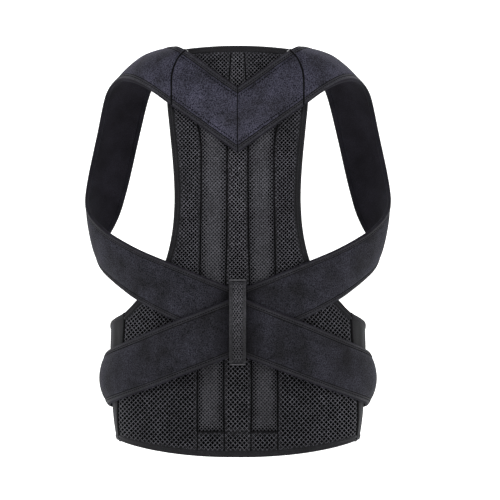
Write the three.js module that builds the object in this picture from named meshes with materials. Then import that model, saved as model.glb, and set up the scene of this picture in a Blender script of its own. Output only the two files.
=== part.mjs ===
// Back support belt with shoulder straps, in the shape it has when worn.
// Millimetres. +Z is up, the wearer faces +Y, and +X is the wearer's right.
// The origin lies on the inner face of the back panel, on the centreline, at
// the height where the two straps cross under the keeper loop.
//
// The wearer's body is a stack of rounded sections (BODY). The back panel, the
// side wings and the waist straps are sheets laid on it, each at its own
// offset. The shoulder straps are ribbons through a table of sections (STRAP).
import * as THREE from "three";

// ---- sizes -----------------------------------------------------------------
const PANEL_T = 4; // padded mesh panel
const TAPE_W = 6.8; // folded edge tape on the panel
const TAPE_IN = -0.4; // the tape wraps the panel's edge, a little proud
const TAPE_OUT = 4.5;
const STRAP_W = 59; // shoulder and waist straps
const STRAP_T = 3.0;
const STRAP_TAPE_W = 6.2; // folded edge tape on the straps
const STRAP_TAPE_T = 3.6;
const WING_IN = 0.5; // side wings, of elastic cloth
const WING_OUT = 3.4;
const WING_TAPE_W = 5.5;
const GAP = 0.3; // between pieces sewn edge to edge
const LIFT_1 = 8.4; // middle of the strap layer that lies on the panel
const LIFT_2 = 12.9; // middle of the strap layer on top of it
const LIFT_WING = 6.4; // middle of a waist strap on a side wing
const KEEPER_W = 18;
const KEEPER_T = 1.6;
const SECTION_POWER = 2.3; // roundness of the body's sections

// The body: y0 is the back's line, a the half width, b the half depth.
const BODY = [
  { z: -150, y0: -11, a: 133, b: 97 },
  { z: -97, y0: -6, a: 139.4, b: 97 },
  { z: -40, y0: -1, a: 142, b: 96 },
  { z: 0, y0: 0, a: 142.5, b: 96 },
  { z: 60, y0: -4, a: 152, b: 99 },
  { z: 130, y0: -10, a: 162, b: 104 },
  { z: 200, y0: -13, a: 168, b: 106 },
  { z: 260, y0: -7, a: 170, b: 105 },
  { z: 304, y0: 5, a: 170, b: 101 },
];

// The back panel's outline above the waist: half width at each height.
const OUTLINE = [
  { z: 301.4, half: 58 },
  { z: 297, half: 62.2 },
  { z: 288, half: 66 },
  { z: 277, half: 70 },
  { z: 266, half: 73.5 },
  { z: 255, half: 76 },
  { z: 244, half: 77 },
  { z: 233, half: 76.4 },
  { z: 222, half: 75.2 },
  { z: 210, half: 74 },
  { z: 198, half: 72.8 },
  { z: 186, half: 71.6 },
  { z: 174, half: 70.6 },
  { z: 161, half: 69.7 },
  { z: 148, half: 69.1 },
  { z: 134, half: 68.9 },
  { z: 120, half: 69.5 },
  { z: 109, half: 70.3 },
  { z: 98, half: 71.7 },
  { z: 88, half: 73.5 },
  { z: 78, half: 75.8 },
  { z: 69, half: 78.4 },
  { z: 60, half: 82 },
  { z: 52, half: 86.3 },
  { z: 44, half: 91.8 },
  { z: 36, half: 98.5 },
  { z: 28.5, half: 105.8 },
  { z: 22, half: 112.3 },
  { z: 16, half: 117.6 },
  { z: 10, half: 123.6 },
];
// The seam that joins panel and wing, below that corner.
const SEAM = [
  { z: 10, half: 123.6 },
  { z: -4, half: 123.9 },
  { z: -34, half: 125.8 },
  { z: -68, half: 129 },
  { z: -100, half: 131.2 },
  { z: -122, half: 130.4 },
  { z: -142, half: 127 },
];
const TOP_Z = 304.4; // middle of the panel's top edge
const TOP_DROP = 3.6; // how far its ends lie below the middle
const BOTTOM_Z = -148.5; // middle of the panel's bottom edge
const BOTTOM_RISE = 12.5; // how far its ends lie above the middle

// Seams of the two stay pockets, from the centreline out.
const POCKET = [
  { z: 222, inner: 11.2, outer: 44.5 },
  { z: 206, inner: 11.3, outer: 41.2 },
  { z: 190, inner: 11.4, outer: 39.6 },
  { z: 100, inner: 11.8, outer: 40.2 },
  { z: 0, inner: 13.8, outer: 42.4 },
  { z: -65, inner: 15.2, outer: 43.6 },
  { z: -119, inner: 14.6, outer: 43.6 },
];

// The left shoulder strap, from the yoke's centre over the shoulder, down the
// chest, under the arm and back to the keeper. v is the distance along it. The
// a columns are its arm-side edge, the n columns its neck-side edge, and crown
// is how far its middle bows outwards.
const STRAP = [
  { v: 0.0, ax: 0.8, ay: -20.5, az: 184.4, nx: 35.3, ny: -17.5, nz: 234.2, crown: 0 },
  { v: 58.2, ax: -46.7, ay: -17.3, az: 218.6, nx: -13.6, ny: -15.1, nz: 267.4, crown: 0.6 },
  { v: 96.9, ax: -77.7, ay: -10.5, az: 241.0, nx: -45.2, ny: -8.5, nz: 290.9, crown: 2 },
  { v: 115.4, ax: -92.2, ay: -4.5, az: 251.8, nx: -58.6, ny: 0.7, nz: 299.8, crown: 5 },
  { v: 134.0, ax: -105.7, ay: 4.9, az: 259.9, nx: -68.8, ny: 17.2, nz: 304.0, crown: 8.4 },
  { v: 153.3, ax: -117.5, ay: 17.9, az: 265.3, nx: -76.5, ny: 37.3, nz: 302.9, crown: 10.2 },
  { v: 173.1, ax: -127.5, ay: 33.2, az: 267.6, nx: -82.9, ny: 57.9, nz: 297.4, crown: 10.6 },
  { v: 193.2, ax: -136.2, ay: 49.6, az: 266.8, nx: -87.8, ny: 75.5, nz: 288.6, crown: 9.7 },
  { v: 213.2, ax: -143.7, ay: 65.5, az: 262.7, nx: -93.0, ny: 92.1, nz: 277.2, crown: 7.6 },
  { v: 233.0, ax: -149.7, ay: 79.5, az: 254.5, nx: -98.9, ny: 108.1, nz: 263.4, crown: 6.4 },
  { v: 252.7, ax: -153.9, ay: 90.5, az: 242.2, nx: -104.9, ny: 122.5, nz: 247.2, crown: 5.2 },
  { v: 291.9, ax: -160.9, ay: 102.2, az: 211.3, nx: -115.4, ny: 139.4, nz: 207.4, crown: 4 },
  { v: 331.2, ax: -167.9, ay: 101.8, az: 178.8, nx: -125.3, ny: 139.1, nz: 163.3, crown: 4 },
  { v: 350.9, ax: -170.6, ay: 96.7, az: 163.2, nx: -130.5, ny: 133.8, nz: 141.8, crown: 4.4 },
  { v: 370.4, ax: -172.2, ay: 88.3, az: 149.0, nx: -136.2, ny: 126.3, nz: 121.4, crown: 5 },
  { v: 389.6, ax: -172.2, ay: 76.8, az: 136.7, nx: -144.2, ny: 117.0, nz: 103.0, crown: 5.6 },
  { v: 407.9, ax: -169.3, ay: 63.5, az: 126.0, nx: -153.2, ny: 105.3, nz: 87.5, crown: 5.6 },
  { v: 425.7, ax: -162.7, ay: 50.2, az: 116.1, nx: -158.4, ny: 91.8, nz: 74.3, crown: 5.2 },
  { v: 444.1, ax: -152.8, ay: 37.9, az: 106.3, nx: -156.4, ny: 76.4, nz: 62.3, crown: 4.4 },
  { v: 463.9, ax: -140.4, ay: 26.7, az: 96.8, nx: -147.7, ny: 60.6, nz: 50.9, crown: 3.6 },
  { v: 505.0, ax: -109.7, ay: 8.0, az: 80.2, nx: -120.8, ny: 27.6, nz: 29.9, crown: 2.4 },
  { v: 546.0, ax: -74.1, ay: -4.6, az: 65.4, nx: -90.9, ny: 6.0, nz: 12.2, crown: 1.4 },
  { v: 586.6, ax: -36.7, ay: -9.6, az: 50.0, nx: -57.3, ny: -3.5, nz: -4.0, crown: 0.3 },
  { v: 647.7, ax: 19.3, ay: -9.2, az: 27.4, nx: -0.7, ny: -8.9, nz: -28.0, crown: 0 },
];
// The seam between yoke and shoulder strap: its place along the strap, by the
// distance from the arm-side edge.
const YOKE_SEAM = [
  { w: 0, v: 90 },
  { w: 17, v: 101.5 },
  { w: 30, v: 108.5 },
  { w: 46, v: 112.5 },
  { w: 59, v: 113 },
];

// The left waist strap on the body: distance round from the back's centreline,
// height and slope of its middle line, its lift off the body and its crown.
const WAIST = [
  { s: -20, z: 5.3, slope: 22.5, lift: LIFT_2, crown: 0 },
  { s: 0, z: -2.9, slope: 22.5, lift: LIFT_2, crown: 0 },
  { s: 40, z: -19.5, slope: 22.5, lift: LIFT_2, crown: 0.4 },
  { s: 74, z: -33.5, slope: 22.3, lift: LIFT_2, crown: 1 },
  { s: 96, z: -42.3, slope: 21.5, lift: 9.6, crown: 2.2 },
  { s: 118, z: -50.2, slope: 19, lift: 7.2, crown: 4 },
  { s: 145, z: -58.4, slope: 15.5, lift: LIFT_WING, crown: 6.2 },
  { s: 172, z: -64.8, slope: 11.5, lift: LIFT_WING, crown: 8.2 },
  { s: 200, z: -69.4, slope: 8, lift: LIFT_WING, crown: 8.2 },
  { s: 228, z: -72.8, slope: 5.5, lift: LIFT_WING, crown: 6.5 },
  { s: 260, z: -75.2, slope: 3, lift: LIFT_WING, crown: 3 },
  { s: 300, z: -76.6, slope: 1, lift: LIFT_WING, crown: 1 },
  { s: 345, z: -77, slope: 0, lift: LIFT_WING, crown: 0.4 },
];
const WAIST_END = 330; // where the straps end in front
const END_ROUND = 9; // roundness of a strap's free end

// Side wings: top and bottom edge by the distance round the body.
const WING = [
  { s: 118, top: 12.6, bottom: -137 },
  { s: 130, top: 10.4, bottom: -137 },
  { s: 143, top: 6, bottom: -137 },
  { s: 158, top: 1.8, bottom: -137 },
  { s: 172, top: -1.6, bottom: -137 },
  { s: 188, top: -5.6, bottom: -136.8 },
  { s: 208, top: -9.6, bottom: -136.2 },
  { s: 250, top: -17.6, bottom: -133 },
  { s: 300, top: -26, bottom: -128 },
  { s: 360, top: -32, bottom: -123 },
  { s: 440, top: -33, bottom: -122 },
];
const WING_PAST_LEFT = 34; // the left wing closes over the right one
const WING_PAST_RIGHT = 22;
const WING_OVER = 4.2; // how far the left wing's end is lifted off the body

// The keeper loop: its inner face's lift off the body at each height.
const KEEPER = [
  { z: 47.4, lift: 4.4 },
  { z: 44.6, lift: 4.4 },
  { z: 42.6, lift: 6.4 },
  { z: 41.2, lift: 11.2 },
  { z: 38, lift: 12.9 },
  { z: 30.6, lift: 15.3 },
  { z: 0, lift: 15.4 },
  { z: -39.4, lift: 15.3 },
  { z: -41.6, lift: 12.8 },
  { z: -43.2, lift: 6.4 },
  { z: -44.8, lift: 4.4 },
  { z: -47.6, lift: 4.4 },
];

const FABRIC = { mesh: 0x17171a, brushed: 0x1b1a22, tape: 0x1a191d, elastic: 0x1d1c1f, pocket: 0x202023 };
const material = (color, roughness) =>
  new THREE.MeshStandardMaterial({ color, roughness, metalness: 0 });
const MAT = {
  mesh: material(FABRIC.mesh, 0.85),
  brushed: material(FABRIC.brushed, 0.9),
  tape: material(FABRIC.tape, 0.75),
  elastic: material(FABRIC.elastic, 0.8),
  pocket: material(FABRIC.pocket, 0.85),
};

// ---- helpers ---------------------------------------------------------------
const clamp = (x, lo, hi) => Math.min(hi, Math.max(lo, x));
const mix = (a, b, t) => a + (b - a) * t;
const smooth = (e0, e1, x) => {
  const t = clamp((x - e0) / (e1 - e0), 0, 1);
  return t * t * (3 - 2 * t);
};
const range = (n) => Array.from({ length: n + 1 }, (_, i) => i / n);

// A table's column at x, by a smooth curve through its rows.
function look(table, key, column, x) {
  const up = table[table.length - 1][key] > table[0][key];
  const rows = up ? table : [...table].reverse();
  const n = rows.length;
  const k = (i) => rows[clamp(i, 0, n - 1)][key];
  const f = (i) => rows[clamp(i, 0, n - 1)][column];
  let i = 0;
  while (i < n - 2 && x > k(i + 1)) i++;
  const h = k(i + 1) - k(i);
  const t = clamp((x - k(i)) / h, 0, 1);
  const slope = (j) =>
    j <= 0
      ? (f(1) - f(0)) / (k(1) - k(0))
      : j >= n - 1
        ? (f(n - 1) - f(n - 2)) / (k(n - 1) - k(n - 2))
        : (f(j + 1) - f(j - 1)) / (k(j + 1) - k(j - 1));
  const t2 = t * t;
  const t3 = t2 * t;
  return (
    f(i) * (2 * t3 - 3 * t2 + 1) +
    slope(i) * h * (t3 - 2 * t2 + t) +
    f(i + 1) * (-2 * t3 + 3 * t2) +
    slope(i + 1) * h * (t3 - t2)
  );
}

// The body's surface at a direction angle (0 is the back's middle, 180 the
// front's) and height, lifted off by some distance.
function body(angle, z, lift) {
  const a = look(BODY, "z", "a", z);
  const b = look(BODY, "z", "b", z);
  const y0 = look(BODY, "z", "y0", z);
  const t = (angle * Math.PI) / 180;
  const n = SECTION_POWER;
  const r = (Math.abs(Math.sin(t) / a) ** n + Math.abs(Math.cos(t) / b) ** n) ** (-1 / n);
  const x = r * Math.sin(t);
  const y = -r * Math.cos(t);
  const gx = (Math.sign(x) / a) * Math.abs(x / a) ** (n - 1);
  const gy = (Math.sign(y) / b) * Math.abs(y / b) ** (n - 1);
  const g = Math.hypot(gx, gy);
  return [x + (gx / g) * lift, y0 + b + y + (gy / g) * lift, z];
}
// The direction angle of the back's point at x.
function angleOfX(x, z) {
  const a = look(BODY, "z", "a", z);
  const b = look(BODY, "z", "b", z);
  const u = clamp(Math.abs(x / a), 0, 0.9999);
  const y = b * (1 - u ** SECTION_POWER) ** (1 / SECTION_POWER);
  return (Math.atan2(x, y) * 180) / Math.PI;
}
const back = (x, z, lift) => body(angleOfX(x, z), z, lift);
// Distance round the body at the waist, and the angle it reaches.
const ROUND = (() => {
  const rows = [{ s: 0, angle: 0 }];
  let last = body(0, -60, 0);
  for (let i = 1; i <= 240; i++) {
    const p = body(i, -60, 0);
    rows.push({ s: rows[i - 1].s + Math.hypot(p[0] - last[0], p[1] - last[1]), angle: i });
    last = p;
  }
  return rows;
})();
function angleOfS(s) {
  const q = Math.abs(s);
  const i = clamp(ROUND.findIndex((r) => r.s > q), 1, ROUND.length - 1);
  const t = (q - ROUND[i - 1].s) / (ROUND[i].s - ROUND[i - 1].s);
  return Math.sign(s) * mix(ROUND[i - 1].angle, ROUND[i].angle, t);
}
const FRONT = ROUND[180].s; // the front's middle
function sOfAngle(angle) {
  const i = clamp(Math.floor(angle), 0, ROUND.length - 2);
  return mix(ROUND[i].s, ROUND[i + 1].s, angle - i);
}

// A closed sheet of cloth: at(p, q) gives its outer and inner point.
function sheet(ps, qs, at, mirror = false) {
  const np = ps.length;
  const nq = qs.length;
  const position = [];
  const faces = [];
  for (const side of [0, 1])
    for (const q of qs)
      for (const p of ps) {
        const v = at(p, q)[side];
        position.push(mirror ? -v[0] : v[0], v[1], v[2]);
      }
  const id = (side, i, j) => side * np * nq + j * np + i;
  const quad = (a, b, c, d) => faces.push(a, b, c, a, c, d);
  for (let j = 0; j < nq - 1; j++)
    for (let i = 0; i < np - 1; i++) {
      quad(id(0, i, j), id(0, i + 1, j), id(0, i + 1, j + 1), id(0, i, j + 1));
      quad(id(1, i, j + 1), id(1, i + 1, j + 1), id(1, i + 1, j), id(1, i, j));
    }
  for (let i = 0; i < np - 1; i++) {
    quad(id(1, i, 0), id(1, i + 1, 0), id(0, i + 1, 0), id(0, i, 0));
    quad(id(0, i, nq - 1), id(0, i + 1, nq - 1), id(1, i + 1, nq - 1), id(1, i, nq - 1));
  }
  for (let j = 0; j < nq - 1; j++) {
    quad(id(0, 0, j), id(0, 0, j + 1), id(1, 0, j + 1), id(1, 0, j));
    quad(id(1, np - 1, j), id(1, np - 1, j + 1), id(0, np - 1, j + 1), id(0, np - 1, j));
  }
  let volume = 0;
  const P = (k) => new THREE.Vector3().fromArray(position, 3 * k);
  for (let f = 0; f < faces.length; f += 3)
    volume += P(faces[f]).dot(P(faces[f + 1]).cross(P(faces[f + 2])));
  if (volume < 0)
    for (let f = 0; f < faces.length; f += 3)
      [faces[f + 1], faces[f + 2]] = [faces[f + 2], faces[f + 1]];
  const g = new THREE.BufferGeometry();
  g.setAttribute("position", new THREE.Float32BufferAttribute(position, 3));
  g.setIndex(faces);
  g.computeVertexNormals();
  return g;
}

const group = new THREE.Group();
function add(name, geometry, mat) {
  const mesh = new THREE.Mesh(geometry, mat);
  mesh.name = name;
  group.add(mesh);
}
// Both sides of a mirrored pair.
function pair(name, mat, ps, qs, at) {
  add(name + "_left", sheet(ps, qs, at, false), mat);
  add(name + "_right", sheet(ps, qs, at, true), mat);
}

// ---- back panel ------------------------------------------------------------
// The outline's points and the same points moved in by the tape's width.
function inset(rows, distance) {
  return rows.map((r, i) => {
    const p = rows[Math.max(0, i - 1)];
    const q = rows[Math.min(rows.length - 1, i + 1)];
    const dz = q.z - p.z;
    const dx = q.half - p.half;
    const l = Math.hypot(dx, dz);
    return { z: r.z - (Math.abs(dx) / l) * distance * (dx > 0 ? 1 : -1), half: r.half - (Math.abs(dz) / l) * distance };
  });
}
const topEdge = (x) => TOP_Z - TOP_DROP * (x / 58) ** 2;
const bottomEdge = (x) => BOTTOM_Z + BOTTOM_RISE * Math.abs(x / 128) ** 2.2;

const seamHalf = (z) => look(SEAM, "z", "half", z);
// Where the panel's inner cloth, the tape's end and the wing meet.
const CORNER = { outer: OUTLINE[OUTLINE.length - 1], tape: 0.9, core: 0.5 };
// Heights on that seam of the panel's and the wings' rows.
const CORE_END = -128;
const SEAM_ROWS = [CORNER.core, -14, -30, -48, -68, -88, -104, -117, CORE_END];

// A point on a row that ends on the seam at height end and bends with the
// bottom edge by some share.
const endX = seamHalf(CORE_END);
function bent(p, end, share) {
  let x = p * seamHalf(end);
  let z = end;
  for (let k = 0; k < 6; k++) {
    z = end + (bottomEdge(x) - bottomEdge(endX)) * share;
    x = p * seamHalf(z);
  }
  return [x, z];
}
// Rows of the panel's inner cloth: its own top edge, the inset outline, then
// the seam down to the bottom tape.
const INSET = inset(OUTLINE, TAPE_W + GAP);
const coreRows = [
  ...INSET.filter((r, i) => i > 1 && (i % 2 === 0 || i < 6) && r.z > CORNER.core + 4),
  ...SEAM_ROWS.map((z) => ({ z, seam: true })),
];
const across = range(14).map((t) => t * 2 - 1);
add(
  "back_panel",
  sheet(across, range(coreRows.length).map((_, i) => i - 1), (p, i) => {
    let x = p * 53;
    let z = topEdge(x) - TAPE_W - GAP;
    if (i >= 0) {
      const r = coreRows[i];
      [x, z] = r.seam ? bent(p, r.z, smooth(CORNER.core, CORE_END, r.z)) : [p * r.half, r.z];
    }
    return [back(x, z, PANEL_T), back(x, z, 0)];
  }),
  MAT.mesh,
);

// Edge tape down each side, from the top corner to the wing.
const TAPE_INSET = inset(OUTLINE, TAPE_W);
const sideRows = OUTLINE.map((o, i) => ({ o, i: TAPE_INSET[i] })).filter((_, i) => i % 2 === 0 || i < 6);
sideRows.push({ o: CORNER.outer, i: { z: CORNER.tape, half: seamHalf(CORNER.tape) } });
pair("panel_edge_tape", MAT.tape, [0, 1], sideRows.map((_, i) => i), (p, i) => {
  const r = sideRows[i];
  const x = -mix(r.i.half, r.o.half, p);
  const z = mix(r.i.z, r.o.z, p);
  return [back(x, z, TAPE_OUT), back(x, z, TAPE_IN)];
});
// Along the top, mitred at the corners, and along the bottom.
const TOP_HALF = [57, 50.6];
add(
  "top_edge_tape",
  sheet(range(10).map((t) => t * 2 - 1), [0, 1], (p, q) => {
    const x = p * TOP_HALF[q];
    const z = topEdge(x) - TAPE_W * q;
    return [back(x, z, TAPE_OUT), back(x, z, TAPE_IN)];
  }),
  MAT.tape,
);
add(
  "bottom_edge_tape",
  sheet(across, [0, 1], (p, q) => {
    const [x, z] = bent(p, CORE_END - GAP - TAPE_W * (1 - q), 1);
    return [back(x, z, TAPE_OUT), back(x, z, TAPE_IN)];
  }),
  MAT.tape,
);

// Stay pockets: flat sleeves on the panel, slightly bowed over their stays.
pair("stay_pocket", MAT.pocket, range(3), range(16), (p, q) => {
  const z = mix(222, -119, q);
  const x = -mix(look(POCKET, "z", "inner", z), look(POCKET, "z", "outer", z), p);
  const end = smooth(0, 0.03, q) * smooth(1, 0.97, q);
  const bow = 0.8 * (1 - (2 * p - 1) ** 2) * end;
  return [back(x, z, PANEL_T + 1.2 + bow), back(x, z, PANEL_T + GAP)];
});

// ---- shoulder straps and yoke ----------------------------------------------
// A point of the left shoulder strap's middle surface: v along, u across from
// -1 at the arm-side edge to 1 at the neck-side edge.
function strapMiddle(v, u) {
  const c = (k) => look(STRAP, "v", k, v);
  const t = (u + 1) / 2;
  return new THREE.Vector3(mix(c("ax"), c("nx"), t), mix(c("ay"), c("ny"), t), mix(c("az"), c("nz"), t));
}
function strapNormal(v, u) {
  const along = strapMiddle(v + 1, u).sub(strapMiddle(v - 1, u));
  const wide = strapMiddle(v, 1).sub(strapMiddle(v, -1));
  return wide.cross(along).normalize();
}
// A point's distance from the body and the way out.
function offBody(p) {
  const a = look(BODY, "z", "a", clamp(p.z, -150, 304));
  const b = look(BODY, "z", "b", clamp(p.z, -150, 304));
  const y = p.y - look(BODY, "z", "y0", clamp(p.z, -150, 304)) - b;
  const n = SECTION_POWER;
  const f = (Math.abs(p.x / a) ** n + Math.abs(y / b) ** n) ** (1 / n);
  const gx = (Math.sign(p.x) / a) * Math.abs(p.x / a / f) ** (n - 1);
  const gy = (Math.sign(y) / b) * Math.abs(y / b / f) ** (n - 1);
  const g = Math.hypot(gx, gy);
  return { far: (f - 1) / g, out: new THREE.Vector3(gx / g, gy / g, 0) };
}
// Where the strap lies on the panel it stays clear of it.
function restOnPanel(p) {
  const half = look(OUTLINE, "z", "half", clamp(p.z, 10, 299));
  const beyond = Math.abs(p.x) - half;
  const low = smooth(170, 110, p.z); // by the waist it also rounds the panel's corner
  const need =
    mix(LIFT_1 + 1.4 * smooth(278, 294, p.z), -12, smooth(mix(4, 10, low), mix(24, 50, low), beyond)) -
    60 * smooth(mix(8, 30, low), mix(40, 75, low), p.y);
  const { far, out } = offBody(p);
  const short = need - far;
  const soft = 1;
  const push = short > soft ? short : short < -soft ? 0 : (short + soft) ** 2 / (4 * soft);
  p.y -= push / Math.max(0.5, -out.y);
  return p;
}
function strap(v, u, lift) {
  const normal = strapNormal(v, u);
  const crown = look(STRAP, "v", "crown", v) * (1 - u * u);
  const p = restOnPanel(strapMiddle(v, u).addScaledVector(normal, crown));
  return p.addScaledVector(normal, lift).toArray();
}
// Where the strap, at u, crosses the centreline: near its start or its end.
function centreCross(u, from, to) {
  let lo = from;
  let hi = to;
  for (let i = 0; i < 40; i++) {
    const m = (lo + hi) / 2;
    if (strapMiddle(m, u).x > -GAP === strapMiddle(from, u).x > -GAP) lo = m;
    else hi = m;
  }
  return (lo + hi) / 2;
}
const CORE = 1 - (2 * STRAP_TAPE_W) / STRAP_W; // the strap between its tapes
const CUT = (3.2 * GAP) / STRAP_W;
const bands = [
  { part: "", from: -CORE + CUT / 2, to: CORE - CUT / 2, n: 4, thick: STRAP_T, mat: MAT.brushed },
  { part: "_arm_tape", from: -1, to: -CORE - CUT / 2, n: 1, thick: STRAP_TAPE_T, mat: MAT.tape },
  { part: "_neck_tape", from: CORE + CUT / 2, to: 1, n: 1, thick: STRAP_TAPE_T, mat: MAT.tape },
];
const seamV = (u) => look(YOKE_SEAM, "w", "v", ((u + 1) / 2) * STRAP_W);
for (const b of bands) {
  const us = range(b.n).map((t) => mix(b.from, b.to, t));
  const piece = (from, to) => (u, q) => {
    const v = mix(from(u), to(u), q);
    return [strap(v, u, b.thick / 2), strap(v, u, -b.thick / 2)];
  };
  pair("yoke" + b.part, b.mat, us, range(6), piece((u) => centreCross(u, -2, 60), (u) => seamV(u) - GAP));
  const along = range(40);
  pair("shoulder_strap" + b.part, b.mat, us, along, piece((u) => seamV(u) + GAP, (u) => centreCross(u, 560, 650)));
}

// ---- side wings and waist straps -------------------------------------------
const wingZ = (s, q) => mix(look(WING, "s", "bottom", s), look(WING, "s", "top", s), q);
// A wing's row: where it starts, on the seam, and its share of the height.
function wingRow(z) {
  const s = sOfAngle(angleOfX(seamHalf(z) + GAP, z));
  const bottom = look(WING, "s", "bottom", s);
  const top = look(WING, "s", "top", s);
  return { s, q: (z - bottom) / (top - bottom) };
}
function wingPoint(s, q, over, lift) {
  const raise = over ? WING_OVER * smooth(FRONT - 62, FRONT - 26, s) : 0;
  return body(-angleOfS(s), wingZ(s, q), lift + raise);
}
const wingTop = 10;
const wingBottom = -135;
const wingBands = [
  { part: "", rows: [wingBottom + WING_TAPE_W + GAP, -117, -104, -88, -68, -48, -30, -14, wingTop - WING_TAPE_W - GAP], grow: 0 },
  { part: "_lower_tape", rows: [wingBottom, wingBottom + WING_TAPE_W], grow: 0.4 },
  { part: "_upper_tape", rows: [wingTop - WING_TAPE_W, wingTop], grow: 0.4 },
];
for (const side of ["left", "right"]) {
  const over = side === "left";
  const end = FRONT + (over ? WING_PAST_LEFT : WING_PAST_RIGHT);
  for (const b of wingBands)
    add(
      "side_wing" + b.part + "_" + side,
      sheet(range(22), b.rows.map(wingRow), (p, row) => {
        const close = 7 * Math.abs(2 * row.q - 1) ** 8; // rounded corners at the free end
        const s = mix(row.s, end - close, p);
        return [wingPoint(s, row.q, over, WING_OUT + b.grow), wingPoint(s, row.q, over, WING_IN - b.grow)];
      }, !over),
      b.part ? MAT.tape : MAT.elastic,
    );
}

// A point of the left waist strap: s is its middle line's place round the body.
function waist(s, u, lift) {
  const slope = (look(WAIST, "s", "slope", s) * Math.PI) / 180;
  const z = look(WAIST, "s", "z", s) + (u * STRAP_W * Math.cos(slope)) / 2;
  const round = s + (u * STRAP_W * Math.sin(slope)) / 2;
  const crown = look(WAIST, "s", "crown", s) * (1 - u * u);
  const base = look(WAIST, "s", "lift", Math.max(round, s));
  return body(-angleOfS(round), z, base + crown + lift);
}
const waistBands = [
  { part: "", from: -CORE + CUT / 2, to: CORE - CUT / 2, n: 4, thick: STRAP_T, mat: MAT.brushed },
  { part: "_lower_tape", from: -1, to: -CORE - CUT / 2, n: 1, thick: STRAP_TAPE_T, mat: MAT.tape },
  { part: "_upper_tape", from: CORE + CUT / 2, to: 1, n: 1, thick: STRAP_TAPE_T, mat: MAT.tape },
];
const centreS = (u) => GAP - (u * STRAP_W * Math.sin((22.5 * Math.PI) / 180)) / 2;
for (const b of waistBands) {
  const us = range(b.n).map((t) => mix(b.from, b.to, t));
  pair("waist_strap" + b.part, b.mat, us, range(28), (u, q) => {
    const s = mix(centreS(u), WAIST_END - END_ROUND * Math.abs(u) ** 5, q);
    return [waist(s, u, b.thick / 2), waist(s, u, -b.thick / 2)];
  });
}

// ---- keeper loop -----------------------------------------------------------
add(
  "keeper_loop",
  sheet([-1, 0, 1], KEEPER.map((_, i) => i), (p, i) => {
    const r = KEEPER[i];
    const before = KEEPER[Math.max(0, i - 1)];
    const after = KEEPER[Math.min(KEEPER.length - 1, i + 1)];
    const l = Math.hypot(before.z - after.z, before.lift - after.lift);
    const x = (p * KEEPER_W) / 2;
    const outer = back(
      x,
      r.z - (KEEPER_T * (before.lift - after.lift)) / l,
      r.lift + (KEEPER_T * (before.z - after.z)) / l,
    );
    return [outer, back(x, r.z, r.lift)];
  }),
  MAT.mesh,
);

export default group;
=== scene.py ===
import bpy
import math
import numpy as np
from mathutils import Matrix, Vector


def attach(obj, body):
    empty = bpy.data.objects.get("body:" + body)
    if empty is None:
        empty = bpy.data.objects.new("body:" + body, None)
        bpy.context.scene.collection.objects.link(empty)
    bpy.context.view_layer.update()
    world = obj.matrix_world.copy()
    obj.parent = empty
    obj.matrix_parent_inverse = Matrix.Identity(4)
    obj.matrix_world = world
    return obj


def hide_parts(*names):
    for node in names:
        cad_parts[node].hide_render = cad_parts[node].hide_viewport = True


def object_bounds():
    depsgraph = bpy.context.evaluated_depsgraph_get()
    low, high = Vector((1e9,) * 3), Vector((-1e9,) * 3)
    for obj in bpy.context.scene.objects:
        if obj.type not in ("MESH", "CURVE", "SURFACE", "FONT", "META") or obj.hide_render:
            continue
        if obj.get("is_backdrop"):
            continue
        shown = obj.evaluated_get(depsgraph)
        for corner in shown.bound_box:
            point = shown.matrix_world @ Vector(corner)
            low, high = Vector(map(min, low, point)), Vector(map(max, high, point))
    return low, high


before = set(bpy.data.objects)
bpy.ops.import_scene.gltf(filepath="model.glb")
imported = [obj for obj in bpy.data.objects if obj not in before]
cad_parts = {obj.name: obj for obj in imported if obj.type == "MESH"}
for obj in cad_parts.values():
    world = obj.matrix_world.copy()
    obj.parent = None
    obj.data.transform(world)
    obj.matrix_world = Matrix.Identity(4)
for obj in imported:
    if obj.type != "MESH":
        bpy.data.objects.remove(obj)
CAD_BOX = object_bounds()
MM = 0.001
rng = np.random.default_rng(7)

# ---- camera, light, stage --------------------------------------------------
scene = bpy.context.scene
cam_data = bpy.data.cameras.new("camera")
cam = bpy.data.objects.new("camera", cam_data)
scene.collection.objects.link(cam)
cam.location = (0.0136, -2.6, 0.0792)
cam.rotation_euler = (math.radians(90), 0, 0)
cam_data.sensor_width = 36
cam_data.lens = 36 * 2.6 / 0.55
cam_data.clip_end = 50
scene.camera = cam
scene.view_settings.view_transform = "Standard"
scene.view_settings.look = "None"

world = bpy.data.worlds.new("studio")
scene.world = world
world.use_nodes = True
world.node_tree.nodes["Background"].inputs["Color"].default_value = (1.0, 1.0, 1.0, 1)
world.node_tree.nodes["Background"].inputs["Strength"].default_value = 0.27


def area_light(name, place, target, size, power, color=(1, 1, 1)):
    data = bpy.data.lights.new(name, "AREA")
    data.shape = "RECTANGLE"
    data.size, data.size_y = size
    data.energy = power
    data.color = color
    o = bpy.data.objects.new(name, data)
    scene.collection.objects.link(o)
    o.visible_camera = False
    o.location = place
    from mathutils import Vector
    o.rotation_euler = (Vector(target) - Vector(place)).to_track_quat("-Z", "Y").to_euler()
    return o


area_light("key", (-0.4, -1.1, 1.4), (0, 0, 0.2), (0.5, 0.5), 18.5)
area_light("fill", (1.0, -1.5, 0.75), (0, 0, 0.1), (0.9, 0.9), 8)
area_light("top", (0.0, 0.75, 1.45), (0, 0.03, 0.25), (1.2, 0.6), 13)
area_light("side_left", (-1.5, 0.1, 0.7), (0, 0, 0.1), (0.6, 1.2), 10)
area_light("side_right", (1.5, 0.1, 0.7), (0, 0, 0.1), (0.6, 1.2), 9)

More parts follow.
